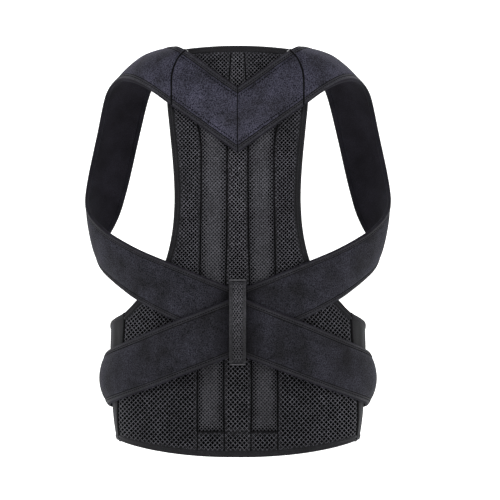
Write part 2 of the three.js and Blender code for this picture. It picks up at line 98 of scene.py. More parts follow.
# ---- the same tables as the CAD model, in millimetres ------------------------
PANEL_T = 4.0
TAPE_W = 6.8
STRAP_W = 59.0
STRAP_TAPE_W = 6.2
GAP = 0.3
LIFT_1 = 8.4
LIFT_2 = 12.9
LIFT_WING = 6.4
KEEPER_W = 18.0
POWER = 2.3


def table(names, rows):
    a = np.array(rows, float)
    order = np.argsort(a[:, 0])
    a = a[order]
    return {n: a[:, i] for i, n in enumerate(names.split())}


BODY = table("z y0 a b", [
    (-150, -11, 133, 97), (-97, -6, 139.4, 97), (-40, -1, 142, 96), (0, 0, 142.5, 96),
    (60, -4, 152, 99), (130, -10, 162, 104), (200, -13, 168, 106), (260, -7, 170, 105),
    (304, 5, 170, 101)])
OUTLINE = table("z half", [
    (301.4, 58), (297, 62.2), (288, 66), (277, 70), (266, 73.5), (255, 76), (244, 77),
    (233, 76.4), (222, 75.2), (210, 74), (198, 72.8), (186, 71.6), (174, 70.6),
    (161, 69.7), (148, 69.1), (134, 68.9), (120, 69.5), (109, 70.3), (98, 71.7),
    (88, 73.5), (78, 75.8), (69, 78.4), (60, 82), (52, 86.3), (44, 91.8), (36, 98.5),
    (28.5, 105.8), (22, 112.3), (16, 117.6), (10, 123.6)])
SEAM = table("z half", [
    (10, 123.6), (-4, 123.9), (-34, 125.8), (-68, 129), (-100, 131.2), (-122, 130.4),
    (-142, 127)])
TOP_Z, TOP_DROP, BOTTOM_Z, BOTTOM_RISE = 304.4, 3.6, -148.5, 12.5
CORNER_TAPE = 0.9
CORE_END = -128.0
# the seams of the stay pockets; the inner ones run on up to the top edge
POCKET = table("z inner outer", [
    (300, 7.4, 58), (288, 7.8, 56), (262, 9.4, 52), (240, 10.4, 48), (222, 11.2, 44.5),
    (206, 11.3, 41.2), (190, 11.4, 39.6), (100, 11.8, 40.2), (0, 13.8, 42.4),
    (-65, 15.2, 43.6), (-119, 14.6, 43.6), (-142, 14.4, 43.4)])
STRAP = table("v ax ay az nx ny nz crown", [
    (0, 0.8, -20.5, 184.4, 35.3, -17.5, 234.2, 0),
    (58.2, -46.7, -17.3, 218.6, -13.6, -15.1, 267.4, 0.6),
    (96.9, -77.7, -10.5, 241, -45.2, -8.5, 290.9, 2),
    (115.4, -92.2, -4.5, 251.8, -58.6, 0.7, 299.8, 5),
    (134, -105.7, 4.9, 259.9, -68.8, 17.2, 304, 8.4),
    (153.3, -117.5, 17.9, 265.3, -76.5, 37.3, 302.9, 10.2),
    (173.1, -127.5, 33.2, 267.6, -82.9, 57.9, 297.4, 10.6),
    (193.2, -136.2, 49.6, 266.8, -87.8, 75.5, 288.6, 9.7),
    (213.2, -143.7, 65.5, 262.7, -93, 92.1, 277.2, 7.6),
    (233, -149.7, 79.5, 254.5, -98.9, 108.1, 263.4, 6.4),
    (252.7, -153.9, 90.5, 242.2, -104.9, 122.5, 247.2, 5.2),
    (291.9, -160.9, 102.2, 211.3, -115.4, 139.4, 207.4, 4),
    (331.2, -167.9, 101.8, 178.8, -125.3, 139.1, 163.3, 4),
    (350.9, -170.6, 96.7, 163.2, -130.5, 133.8, 141.8, 4.4),
    (370.4, -172.2, 88.3, 149, -136.2, 126.3, 121.4, 5),
    (389.6, -172.2, 76.8, 136.7, -144.2, 117, 103, 5.6),
    (407.9, -169.3, 63.5, 126, -153.2, 105.3, 87.5, 5.6),
    (425.7, -162.7, 50.2, 116.1, -158.4, 91.8, 74.3, 5.2),
    (444.1, -152.8, 37.9, 106.3, -156.4, 76.4, 62.3, 4.4),
    (463.9, -140.4, 26.7, 96.8, -147.7, 60.6, 50.9, 3.6),
    (505, -109.7, 8, 80.2, -120.8, 27.6, 29.9, 2.4),
    (546, -74.1, -4.6, 65.4, -90.9, 6, 12.2, 1.4),
    (586.6, -36.7, -9.6, 50, -57.3, -3.5, -4, 0.3),
    (647.7, 19.3, -9.2, 27.4, -0.7, -8.9, -28, 0)])
YOKE_SEAM = table("w v", [(0, 90), (17, 101.5), (30, 108.5), (46, 112.5), (59, 113)])
WAIST = table("s z slope lift crown", [
    (-20, 5.3, 22.5, LIFT_2, 0), (0, -2.9, 22.5, LIFT_2, 0), (40, -19.5, 22.5, LIFT_2, 0.4),
    (74, -33.5, 22.3, LIFT_2, 1), (96, -42.3, 21.5, 9.6, 2.2), (118, -50.2, 19, 7.2, 4),
    (145, -58.4, 15.5, LIFT_WING, 6.2), (172, -64.8, 11.5, LIFT_WING, 8.2),
    (200, -69.4, 8, LIFT_WING, 8.2), (228, -72.8, 5.5, LIFT_WING, 6.5),
    (260, -75.2, 3, LIFT_WING, 3), (300, -76.6, 1, LIFT_WING, 1), (345, -77, 0, LIFT_WING, 0.4)])
WAIST_END = 330.0
END_ROUND = 9.0
WING = table("s top bottom", [
    (118, 12.6, -137), (130, 10.4, -137), (143, 6, -137), (158, 1.8, -137), (172, -1.6, -137),
    (188, -5.6, -136.8), (208, -9.6, -136.2), (250, -17.6, -133), (300, -26, -128), (360, -32, -123), (440, -33, -122)])
WING_PAST_LEFT, WING_PAST_RIGHT, WING_OVER = 34.0, 22.0, 4.2
KEEPER = table("z lift", [
    (47.4, 4.4), (44.6, 4.4), (42.6, 6.4), (41.2, 11.2), (38, 12.9), (30.6, 15.3),
    (0, 15.4), (-39.4, 15.3), (-41.6, 12.8), (-43.2, 6.4), (-44.8, 4.4), (-47.6, 4.4)])


# ---- the same curves and surfaces --------------------------------------------
def look(t, key, column, x):
    k, f = t[key], t[column]
    x = np.asarray(x, float)
    n = len(k)
    m = np.empty(n)
    m[1:-1] = (f[2:] - f[:-2]) / (k[2:] - k[:-2])
    m[0] = (f[1] - f[0]) / (k[1] - k[0])
    m[-1] = (f[-1] - f[-2]) / (k[-1] - k[-2])
    i = np.clip(np.searchsorted(k, x, side="left") - 1, 0, n - 2)
    h = k[i + 1] - k[i]
    t_ = np.clip((x - k[i]) / h, 0, 1)
    t2, t3 = t_ * t_, t_ ** 3
    return f[i] * (2 * t3 - 3 * t2 + 1) + m[i] * h * (t3 - 2 * t2 + t_) + f[i + 1] * (3 * t2 - 2 * t3) + m[i + 1] * h * (t3 - t2)


def smooth(e0, e1, x):
    t = np.clip((np.asarray(x, float) - e0) / (e1 - e0), 0, 1)
    return t * t * (3 - 2 * t)


def mix(a, b, t):
    return a + (b - a) * t


def body(angle, z, lift):
    a, b, y0 = look(BODY, "z", "a", z), look(BODY, "z", "b", z), look(BODY, "z", "y0", z)
    t = np.radians(angle)
    n = POWER
    r = (np.abs(np.sin(t) / a) ** n + np.abs(np.cos(t) / b) ** n) ** (-1 / n)
    x, y = r * np.sin(t), -r * np.cos(t)
    gx = np.sign(x) / a * np.abs(x / a) ** (n - 1)
    gy = np.sign(y) / b * np.abs(y / b) ** (n - 1)
    g = np.hypot(gx, gy)
    return np.stack(np.broadcast_arrays(x + gx / g * lift, y0 + b + y + gy / g * lift, z), -1)


def angle_of_x(x, z):
    a, b = look(BODY, "z", "a", z), look(BODY, "z", "b", z)
    u = np.clip(np.abs(x / a), 0, 0.9999)
    y = b * (1 - u ** POWER) ** (1 / POWER)
    return np.degrees(np.arctan2(x, y))


def back(x, z, lift):
    x, z, lift = np.broadcast_arrays(np.asarray(x, float), np.asarray(z, float), np.asarray(lift, float))
    return body(angle_of_x(x, z), z, lift)


_angles = np.arange(0, 241.0)
_p = body(_angles, -60.0 + 0 * _angles, 0.0)
_s = np.concatenate([[0], np.cumsum(np.hypot(*np.diff(_p[:, :2], axis=0).T))])
FRONT = _s[180]


def angle_of_s(s):
    return np.sign(s) * np.interp(np.abs(s), _s, _angles)


def s_of_angle(a):
    return np.interp(a, _angles, _s)


def seam_half(z):
    return look(SEAM, "z", "half", z)


def bottom_edge(x):
    return BOTTOM_Z + BOTTOM_RISE * np.abs(x / 128) ** 2.2


def top_edge(x):
    return TOP_Z - TOP_DROP * (x / 58) ** 2


def bent(p, end, share):
    x = p * seam_half(end)
    z = end
    for _ in range(6):
        z = end + (bottom_edge(x) - bottom_edge(seam_half(CORE_END))) * share
        x = p * seam_half(z)
    return x, z


def strap_middle(v, u):
    t = (u + 1) / 2
    c = lambda k: look(STRAP, "v", k, v)
    return np.stack(np.broadcast_arrays(mix(c("ax"), c("nx"), t), mix(c("ay"), c("ny"), t), mix(c("az"), c("nz"), t)), -1)


def strap_normal(v, u):
    along = strap_middle(v + 1, u) - strap_middle(v - 1, u)
    wide = strap_middle(v, np.ones_like(u)) - strap_middle(v, -np.ones_like(u))
    n = np.cross(wide, along)
    return n / np.linalg.norm(n, axis=-1, keepdims=True)


def off_body(p):
    z = np.clip(p[..., 2], -150, 304)
    a, b = look(BODY, "z", "a", z), look(BODY, "z", "b", z)
    y = p[..., 1] - look(BODY, "z", "y0", z) - b
    n = POWER
    x = p[..., 0]
    f = (np.abs(x / a) ** n + np.abs(y / b) ** n) ** (1 / n)
    gx = np.sign(x) / a * np.abs(x / a / f) ** (n - 1)
    gy = np.sign(y) / b * np.abs(y / b / f) ** (n - 1)
    g = np.hypot(gx, gy)
    return (f - 1) / g, gy / g


def rest_on_panel(p):
    z = p[..., 2]
    half = look(OUTLINE, "z", "half", np.clip(z, 10, 301))
    beyond = np.abs(p[..., 0]) - half
    low = smooth(170, 110, z)
    e0, e1 = mix(4, 10, low), mix(24, 50, low)
    t = np.clip((beyond - e0) / (e1 - e0), 0, 1)
    t = t * t * (3 - 2 * t)
    f0, f1 = mix(8, 30, low), mix(40, 75, low)
    q = np.clip((p[..., 1] - f0) / (f1 - f0), 0, 1)
    q = q * q * (3 - 2 * q)
    need = mix(LIFT_1 + 1.4 * smooth(278, 294, z), -12, t) - 60 * q
    far, oy = off_body(p)
    short = need - far
    push = np.where(short > 1, short, np.where(short < -1, 0, (short + 1) ** 2 / 4))
    p = p.copy()
    p[..., 1] -= push / np.maximum(0.5, -oy)
    return p


def strap(v, w, lift):
    """A point of the left shoulder strap: v along, w across in mm from its middle, lift off its middle surface."""
    v, w, lift = np.broadcast_arrays(np.asarray(v, float), np.asarray(w, float), np.asarray(lift, float))
    u = w / (STRAP_W / 2)
    n = strap_normal(v, u)
    crown = look(STRAP, "v", "crown", v) * (1 - u * u)
    p = rest_on_panel(strap_middle(v, u) + n * crown[..., None])
    return p + n * lift[..., None]


def centre_cross(u, lo0, hi0, x0=-0.05):
    lo = np.full_like(u, lo0)
    hi = np.full_like(u, hi0)
    side = strap_middle(lo, u)[..., 0] > x0
    for _ in range(40):
        m = (lo + hi) / 2
        same = (strap_middle(m, u)[..., 0] > x0) == side
        lo, hi = np.where(same, m, lo), np.where(same, hi, m)
    return (lo + hi) / 2


def seam_v(u):
    return look(YOKE_SEAM, "w", "v", (u + 1) / 2 * STRAP_W)


def waist(s, w, lift):
    """A point of the left waist strap: s its middle line's place round the body."""
    s, w, lift = np.broadcast_arrays(np.asarray(s, float), np.asarray(w, float), np.asarray(lift, float))
    slope = np.radians(look(WAIST, "s", "slope", s))
    z = look(WAIST, "s", "z", s) + w * np.cos(slope)
    rnd = s + w * np.sin(slope)
    u = w / (STRAP_W / 2)
    crown = look(WAIST, "s", "crown", s) * (1 - u * u)
    base = look(WAIST, "s", "lift", np.maximum(rnd, s))
    return body(-angle_of_s(rnd), z, base + crown + lift)


def wing_z(s, q):
    return mix(look(WING, "s", "bottom", s), look(WING, "s", "top", s), q)


def wing_point(s, q, over, lift):
    rise = WING_OVER * smooth(FRONT - 62, FRONT - 26, s) if over else 0
    return body(-angle_of_s(s), wing_z(s, q), lift + rise)


# ---- materials ---------------------------------------------------------------
def new_material(name):
    m = bpy.data.materials.new(name)
    m.use_nodes = True
    nt = m.node_tree
    for n in list(nt.nodes):
        nt.nodes.remove(n)
    out = nt.nodes.new("ShaderNodeOutputMaterial")
    bsdf = nt.nodes.new("ShaderNodeBsdfPrincipled")
    nt.links.new(bsdf.outputs[0], out.inputs[0])
    return m, nt, bsdf


def node(nt, kind, **values):
    n = nt.nodes.new(kind)
    for k, v in values.items():
        if k in n.inputs.keys():
            n.inputs[k].default_value = v
        else:
            setattr(n, k, v)
    return n


def ramp(nt, source, stops):
    r = nt.nodes.new("ShaderNodeValToRGB")
    e = r.color_ramp.elements
    while len(e) > 1:
        e.remove(e[-1])
    e[0].position, e[0].color = stops[0][0], (*stops[0][1], 1)
    for p, c in stops[1:]:
        s = e.new(p)
        s.color = (*c, 1)
    nt.links.new(source, r.inputs[0])
    return r.outputs[0]


def cloth(name, dark, light, mottle, grain, rough, sheen, sheen_tint, sheen_rough=0.4, bump=0.25, bump_scale=None,
          stops=(0.42, 0.62), specular=0.2, stretch=(1, 1, 1), ribs=None, nap=None, painted_keeper_shade=None):
    """A cloth: dark ground, light fibres at the grain's scale, and a slow mottle over both."""
    m, nt, b = new_material(name)
    co = nt.nodes.new("ShaderNodeTexCoord")
    mp = node(nt, "ShaderNodeMapping")
    mp.inputs["Scale"].default_value = stretch
    nt.links.new(co.outputs["Object"], mp.inputs["Vector"])
    fine = node(nt, "ShaderNodeTexNoise", Scale=grain, Detail=4.0, Roughness=0.65)
    slow = node(nt, "ShaderNodeTexNoise", Scale=38.0, Detail=3.0, Roughness=0.55)
    nt.links.new(mp.outputs[0], fine.inputs["Vector"])
    nt.links.new(mp.outputs[0], slow.inputs["Vector"])
    speck = ramp(nt, fine.outputs["Fac"], [(stops[0], dark), (stops[1], light)])
    shade = ramp(nt, slow.outputs["Fac"], [(0.32, mottle[0]), (0.68, mottle[1])])
    mul = node(nt, "ShaderNodeMix", data_type="RGBA", blend_type="MULTIPLY")
    mul.inputs[0].default_value = 1.0
    nt.links.new(speck, mul.inputs[6])
    nt.links.new(shade, mul.inputs[7])
    colour = mul.outputs[2]
    if nap:  # painted light and shade by height: each material's colour is scaled by a ramp over height, darker lower down where less light falls; the strap cloth's ramp also paints a lighter sheen band across the yoke
        xyz = nt.nodes.new("ShaderNodeSeparateXYZ")
        nt.links.new(co.outputs["Object"], xyz.inputs[0])
        mr = node(nt, "ShaderNodeMapRange", interpolation_type="SMOOTHSTEP")
        mr.inputs["From Min"].default_value, mr.inputs["From Max"].default_value = nap[:2]
        nt.links.new(xyz.outputs["Z"], mr.inputs["Value"])
        tone = ramp(nt, mr.outputs["Result"], [(0.0, nap[2]), (1.0, nap[3])] if len(nap) < 5 else nap[4])
        fall = node(nt, "ShaderNodeMix", data_type="RGBA", blend_type="MULTIPLY")
        fall.inputs[0].default_value = 1.0
        nt.links.new(colour, fall.inputs[6])
        nt.links.new(tone, fall.inputs[7])
        colour = fall.outputs[2]
        if painted_keeper_shade:  # painted shade beside the keeper loop: darker near the centre line low down, where the keeper and the gathered strap shade the cloth
            far = node(nt, "ShaderNodeMath", operation="ABSOLUTE")
            nt.links.new(xyz.outputs["X"], far.inputs[0])
            side = node(nt, "ShaderNodeMapRange", interpolation_type="SMOOTHSTEP")
            side.inputs["From Min"].default_value, side.inputs["From Max"].default_value = 0.008, 0.034
            nt.links.new(far.outputs[0], side.inputs["Value"])
            high = node(nt, "ShaderNodeMapRange", interpolation_type="SMOOTHSTEP")
            high.inputs["From Min"].default_value, high.inputs["From Max"].default_value = 0.09, 0.13
            nt.links.new(xyz.outputs["Z"], high.inputs["Value"])
            either = node(nt, "ShaderNodeMath", operation="MAXIMUM")
            nt.links.new(side.outputs["Result"], either.inputs[0])
            nt.links.new(high.outputs["Result"], either.inputs[1])
            flat = ramp(nt, either.outputs[0], [(0.0, (painted_keeper_shade,) * 3), (1.0, (1, 1, 1))])
            keeper_shade_mul = node(nt, "ShaderNodeMix", data_type="RGBA", blend_type="MULTIPLY")
            keeper_shade_mul.inputs[0].default_value = 1.0
            nt.links.new(colour, keeper_shade_mul.inputs[6])
            nt.links.new(flat, keeper_shade_mul.inputs[7])
            colour = keeper_shade_mul.outputs[2]
    nt.links.new(colour, b.inputs["Base Color"])
    rr = ramp(nt, fine.outputs["Fac"], [(0.3, (rough[0],) * 3), (0.7, (rough[1],) * 3)])
    nt.links.new(rr, b.inputs["Roughness"])
    bn = node(nt, "ShaderNodeTexNoise", Scale=bump_scale or grain, Detail=3.0, Roughness=0.6)
    nt.links.new(mp.outputs[0], bn.inputs["Vector"])
    height = bn.outputs["Fac"]
    if ribs:
        wave = node(nt, "ShaderNodeTexWave", wave_type="BANDS", bands_direction=ribs[0], Scale=ribs[1], Distortion=0.4, Detail=1.0)
        nt.links.new(mp.outputs[0], wave.inputs["Vector"])
        add = node(nt, "ShaderNodeMath", operation="MULTIPLY_ADD")
        add.inputs[1].default_value = ribs[2]
        nt.links.new(wave.outputs["Fac"], add.inputs[0])
        nt.links.new(height, add.inputs[2])
        height = add.outputs[0]
    bp = node(nt, "ShaderNodeBump", Strength=bump, Distance=0.0006)
    nt.links.new(height, bp.inputs["Height"])
    nt.links.new(bp.outputs[0], b.inputs["Normal"])
    b.inputs["Specular IOR Level"].default_value = specular
    b.inputs["Sheen Weight"].default_value = sheen
    b.inputs["Sheen Roughness"].default_value = sheen_rough
    b.inputs["Sheen Tint"].default_value = (*sheen_tint, 1)
    return m


# The height ramps given to these materials paint light and shade: darker lower down, with a painted sheen band across
# the yoke on the strap cloth. The strap cloth and its tape are also darkened beside the keeper loop as painted shade.
BRUSHED = cloth("brushed_loop_cloth", (0.0060, 0.0059, 0.0076), (0.0470, 0.0460, 0.0575), ((0.62, 0.62, 0.60), (1.36, 1.36, 1.50)),
                960, (0.8, 0.95), 0.06, (0.84, 0.84, 1.0), bump=1.0, bump_scale=1300, stops=(0.42, 0.59), specular=0.05,
                nap=(0.03, 0.30, 0, 0, [(0.0, (0.50, 0.505, 0.48)), (0.30, (0.60, 0.60, 0.60)), (0.72, (1.20, 1.20, 1.30)), (0.90, (0.98, 0.98, 1.06)), (1.0, (0.74, 0.74, 0.79))]), painted_keeper_shade=0.36)
INNER = cloth("strap_lining", (0.0050, 0.0048, 0.0060), (0.0140, 0.0132, 0.0168), ((0.7, 0.68, 0.72), (1.3, 1.28, 1.4)),
              1500, (0.8, 0.95), 0.02, (0.8, 0.85, 1.0), bump=0.25, specular=0.06)
TAPE = cloth("edge_tape", (0.0078, 0.0077, 0.0090), (0.0260, 0.0255, 0.0300), ((0.8, 0.8, 0.8), (1.2, 1.2, 1.25)),
             1000, (0.65, 0.8), 0.05, (0.88, 0.88, 1.0), bump=0.5, bump_scale=1700, specular=0.1,
             nap=(0.04, 0.23, (0.80, 0.80, 0.80), (1.05, 1.05, 1.08)), painted_keeper_shade=0.5)
DARK_TAPE = cloth("panel_edge_tape", (0.0032, 0.0032, 0.0038), (0.0125, 0.0123, 0.0142), ((0.8, 0.8, 0.8), (1.2, 1.2, 1.2)),
                  1100, (0.65, 0.8), 0.04, (0.85, 0.86, 1.0), bump=0.5, bump_scale=1700, specular=0.1)
WING_TAPE = cloth("wing_edge_tape", (0.0046, 0.0046, 0.0052), (0.0145, 0.0143, 0.0162), ((0.8, 0.8, 0.8), (1.2, 1.2, 1.2)),
                  1100, (0.65, 0.8), 0.04, (0.85, 0.86, 1.0), bump=0.5, bump_scale=1700, specular=0.1)
STRAND = cloth("mesh_strands", (0.014, 0.0138, 0.0162), (0.078, 0.0765, 0.088), ((0.72, 0.72, 0.73), (1.22, 1.22, 1.24)),
               700, (0.6, 0.8), 0.05, (0.9, 0.92, 1.0), bump=0.4, bump_scale=1800, specular=0.15,
               nap=(-0.08, 0.10, (0.80, 0.80, 0.80), (1.0, 1.0, 1.0)))
# a lighter copy of the strand material for the spine channel: a painted highlight where more light falls on the upper
# channel
PAINTED_LIT_STRAND = cloth("channel_mesh_strands", (0.022, 0.0216, 0.025), (0.115, 0.1125, 0.128), ((0.75, 0.75, 0.76), (1.2, 1.2, 1.2)),
                      700, (0.6, 0.8), 0.05, (0.9, 0.92, 1.0), bump=0.4, bump_scale=1800, specular=0.15,
                      nap=(0.02, 0.16, (0.62, 0.62, 0.62), (1.0, 1.0, 1.0)))
FINE_STRAND = cloth("pocket_mesh_strands", (0.018, 0.0178, 0.0205), (0.060, 0.059, 0.067), ((0.8, 0.8, 0.8), (1.2, 1.2, 1.2)),
                    800, (0.6, 0.8), 0.05, (0.9, 0.92, 1.0), bump=0.4, bump_scale=1800, specular=0.15,
                    nap=(-0.02, 0.16, (0.74, 0.74, 0.75), (1.0, 1.0, 1.02)))
# near-black floor of the mesh holes: the mesh's dark under-layer, made darker still as painted shade deep in the holes
HOLE_SHADE = cloth("mesh_ground", (0.0003, 0.0003, 0.0003), (0.0008, 0.0008, 0.0009), ((0.9, 0.9, 0.9), (1.1, 1.1, 1.1)),
             1200, (0.9, 0.98), 0.0, (1, 1, 1), bump=0.2, specular=0.02)
POCKET_HOLE = cloth("pocket_ground", (0.0045, 0.0045, 0.0052), (0.0110, 0.0110, 0.0125), ((0.9, 0.9, 0.9), (1.1, 1.1, 1.1)),
                    1200, (0.85, 0.95), 0.0, (1, 1, 1), bump=0.2, specular=0.05)
LINING = cloth("panel_lining", (0.0050, 0.0050, 0.0056), (0.014, 0.014, 0.015), ((0.8, 0.8, 0.8), (1.2, 1.2, 1.2)),
               900, (0.75, 0.9), 0.05, (0.85, 0.88, 1.0), bump=0.4, bump_scale=1500, specular=0.1)
ELASTIC = cloth("elastic_cloth", (0.0036, 0.0036, 0.0040), (0.0088, 0.0087, 0.0096), ((0.85, 0.85, 0.85), (1.15, 1.15, 1.15)),
                1100, (0.7, 0.85), 0.05, (0.85, 0.88, 1.0), bump=0.35, ribs=("Z", 260.0, 0.5), specular=0.1)
THREAD = cloth("thread", (0.0008, 0.0008, 0.0010), (0.0024, 0.0023, 0.0030), ((0.9, 0.9, 0.9), (1.1, 1.1, 1.1)),
               2500, (0.85, 0.95), 0.0, (1, 1, 1), bump=0.3, specular=0.03)
SEAM_MAT = cloth("seam", (0.0012, 0.0012, 0.0014), (0.0035, 0.0035, 0.004), ((0.9, 0.9, 0.9), (1.1, 1.1, 1.1)),
                 1500, (0.85, 0.95), 0.0, (1, 1, 1), bump=0.3, specular=0.04)
WEB = cloth("keeper_web", (0.014, 0.0138, 0.016), (0.080, 0.0785, 0.089), ((0.85, 0.85, 0.85), (1.15, 1.15, 1.15)),
            800, (0.6, 0.8), 0.05, (0.9, 0.92, 1.0), bump=0.4, bump_scale=1500, specular=0.15,
            nap=(-0.045, 0.03, (0.50, 0.50, 0.50), (1.0, 1.0, 1.0)))
WEB_EDGE = cloth("keeper_web_edge", (0.008, 0.0079, 0.009), (0.034, 0.0334, 0.038), ((0.85, 0.85, 0.85), (1.15, 1.15, 1.15)),
                 800, (0.6, 0.8), 0.05, (0.9, 0.92, 1.0), bump=0.4, bump_scale=1500, specular=0.15,
                 nap=(-0.045, 0.03, (0.55, 0.55, 0.55), (1.0, 1.0, 1.0)))
TACK = cloth("bar_tack_thread", (0.034, 0.0335, 0.037), (0.090, 0.088, 0.098), ((0.9, 0.9, 0.9), (1.1, 1.1, 1.1)),
             2500, (0.45, 0.6), 0.0, (1, 1, 1), bump=0.3, specular=0.3)


# ---- mesh helpers ------------------------------------------------------------
def volume(v, f):
    a, b, c = v[f[:, 0]], v[f[:, 1]], v[f[:, 2]]
    total = np.einsum("ij,ij->", a, np.cross(b, c))
    if f.shape[1] == 4:
        total += np.einsum("ij,ij->", a, np.cross(c, v[f[:, 3]]))
    return total


def make(name, verts, quads, materials, index=None, mirror=False, flip=None, body_name="root", flat=False):
    """A mesh object from points in mm and quads. A quad whose last two corners are alike is a triangle."""
    verts = np.array(verts, float)
    quads = np.array(quads, int)
    if mirror:
        verts = verts * [-1, 1, 1]
    if flip is None:
        flip = volume(verts, quads) < 0
    elif mirror:
        flip = not flip
    if flip:
        quads = quads[:, ::-1]
    me = bpy.data.meshes.new(name)
    me.from_pydata((verts * MM).tolist(), [], quads.tolist())
    for m in materials:
        me.materials.append(m)
    if index is not None:
        me.polygons.foreach_set("material_index", np.asarray(index, np.int32))
    me.polygons.foreach_set("use_smooth", np.full(len(me.polygons), not flat))
    me.update()
    o = bpy.data.objects.new(name, me)
    scene.collection.objects.link(o)
    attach(o, body_name)
    return o


def tube(outer, inner, qs, pos):
    """A closed band. outer and inner are lists of (w, h) across it, both with w rising; pos(w, h, q, side) gives points."""
    w = np.array([p[0] for p in outer] + [p[0] for p in inner[::-1]])
    h = np.array([p[1] for p in outer] + [p[1] for p in inner[::-1]])
    k, n = len(w), len(qs)
    W, Q = np.meshgrid(w, qs)
    H = np.broadcast_to(h, W.shape)
    side = np.broadcast_to(np.array([1] * len(outer) + [-1] * len(inner)), W.shape)
    V = pos(W, H, Q, side).reshape(-1, 3)
    j, i = np.meshgrid(np.arange(n - 1), np.arange(k), indexing="ij")
    a = (j * k + i).ravel()
    b = (j * k + (i + 1) % k).ravel()
    F = [np.stack([a, b, b + k, a + k], 1)]
    half = k // 2
    c = np.arange(half - 1)
    cap = np.stack([c, k - 1 - c, k - 2 - c, c + 1], 1)
    F.append(cap)
    F.append(cap[:, ::-1] + (n - 1) * k)
    return V, np.concatenate(F)


def both_sides(name, V, F, materials, node_name, index=None, sides=("left", "right"), declare=None):
    made = []
    for side in sides:
        o = make(f"{name}_{side}", V, F, materials, index=index, mirror=side == "right")
        if node_name:
            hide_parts(f"{node_name}_{side}")
        if declare:
            declare(o)
        made.append(o)
    return made


def wrinkle(p, size, seed, height):
    """A slow waviness from a few fixed sine waves, for cloth that isn't ironed."""
    r = np.random.default_rng(seed)
    d = np.zeros(p.shape[:-1])
    for _ in range(5):
        k = r.normal(size=3)
        k = k / np.linalg.norm(k) * (2 * math.pi / size) * r.uniform(0.6, 1.5)
        d += np.sin(p @ k + r.uniform(0, 6.28)) / 5
    return d * height


# ---- straps ------------------------------------------------------------------
HALF = STRAP_W / 2
BORDER = HALF - STRAP_TAPE_W
core_w = np.concatenate([[-BORDER - 1.0, -BORDER - 0.1], np.linspace(-BORDER + 0.7, BORDER - 0.7, 26), [BORDER + 0.1, BORDER + 1.0]])


def core_outer(w):
    """The padded face: it pinches in at the tapes' stitching."""
    return 1.15 + 0.85 * (1 - np.clip(np.abs(w) / (BORDER + 0.4), 0, 1) ** 10)


CORE_OUT = [(x, float(core_outer(x))) for x in core_w]
CORE_IN = [(x, -1.5 + 0.3 * float((abs(x) / (BORDER + 1)) ** 10)) for x in core_w]
T0 = BORDER
TAPE_OUT = [(T0 - 0.15, 0.8), (T0 + 0.15, 1.5), (T0 + 0.7, 1.88), (T0 + 1.3, 1.86), (T0 + 2.0, 1.36), (T0 + 2.7, 1.84),
            (T0 + 3.7, 1.92), (T0 + 4.8, 1.74), (T0 + 5.5, 1.42), (T0 + 5.95, 0.9), (T0 + 6.15, 0.35)]
TAPE_IN = [(T0 - 0.15, -1.0), (T0 + 0.1, -1.5), (T0 + 0.7, -1.75), (T0 + 1.6, -1.8), (T0 + 2.0, -1.8), (T0 + 2.4, -1.8),
           (T0 + 3.6, -1.8), (T0 + 4.8, -1.7), (T0 + 5.5, -1.35), (T0 + 5.95, -0.85), (T0 + 6.15, -0.35)]


def flipped(profile):
    return [(-w, h) for w, h in profile[::-1]]


def ends_in(H, d, deep=0.6, wide=2.2):
    """Thins a band by a share towards a sewn end, d mm away, so the seam reads as a groove."""
    return H * (1 - deep * np.exp(-(d / wide) ** 2))


def strap_pos(v_from, v_to, groove=(True, True), seed=1):
    def pos(W, H, Q, side):
        u = W / HALF
        a, b = v_from(u), v_to(u)
        V = mix(a, b, Q)
        if groove[0]:
            H = ends_in(H, V - a)
        if groove[1]:
            H = ends_in(H, b - V)
        P = strap(V, W, 0 * W)
        body_only = np.clip(1 - (np.abs(W) / BORDER) ** 4, 0, 1)
        wave = wrinkle(P, 34.0, seed, 0.55) * body_only * smooth(560, 500, V) * smooth(60, 130, V)
        near = np.abs(P[..., 0]) * (V > 400) + 99 * (V <= 400)
        H = H * (1 - 0.42 * np.exp(-(np.maximum(near - 8.5, 0) / 7) ** 2))
        wave = wave + pleats(near, W)
        return strap(V, W, H + wave)
    return pos


def pleats(near, W):
    """Small upright folds where a strap is gathered beside the keeper loop."""
    return 0.22 * np.sin(near * 2.3 + 0.05 * W) * np.exp(-((near - 15) / 6.5) ** 2) * np.clip(1 - (np.abs(W) / (BORDER - 1)) ** 6, 0, 1)


yoke_q = np.concatenate([[0, 0.006, 0.012, 0.02, 0.03], np.linspace(0.045, 0.955, 40), [0.97, 0.98, 0.988, 0.994, 1]])
long_q = np.concatenate([[0, 0.0015, 0.003, 0.005, 0.008], np.linspace(0.012, 1, 190)])
v_start = lambda u: centre_cross(u, -2.0, 60.0)
v_end = lambda u: centre_cross(u, 560.0, 650.0)
parts = [("", CORE_OUT, CORE_IN, [BRUSHED, INNER]), ("_arm_tape", flipped(TAPE_OUT), flipped(TAPE_IN), [TAPE, INNER]), ("_neck_tape", TAPE_OUT, TAPE_IN, [TAPE, INNER])]


def inner_index(n_outer, n_inner, rows, caps, shaded_edge=0):
    """Material numbers for a tube: 0 on the outer face, 1 on the inner; for a tape, the outermost band of its face,
    from 4.8 mm across out round the edge, also takes 1 as a painted shade line along the strap's edge.
    """
    per = np.array([0] * n_outer + [1] * (n_inner - 1) + [0])
    # painted shade: that outer band of the tape gets the dark lining material, so a dark line runs along the strap's
    # edge
    if shaded_edge > 0:
        per[n_outer - 4:n_outer] = 1
    elif shaded_edge < 0:
        per[:3] = per[-1] = 1
    return np.concatenate([np.tile(per, rows - 1), np.zeros(caps, int)])


SHEETS = []  # (piece, its family of names, flat size, flat area), listed as each cloth piece is made


def run_length(points):
    """Length of a polyline, in metres to the millimetre."""
    return round(float(np.linalg.norm(np.diff(points, axis=0), axis=1).sum()) * MM, 3)


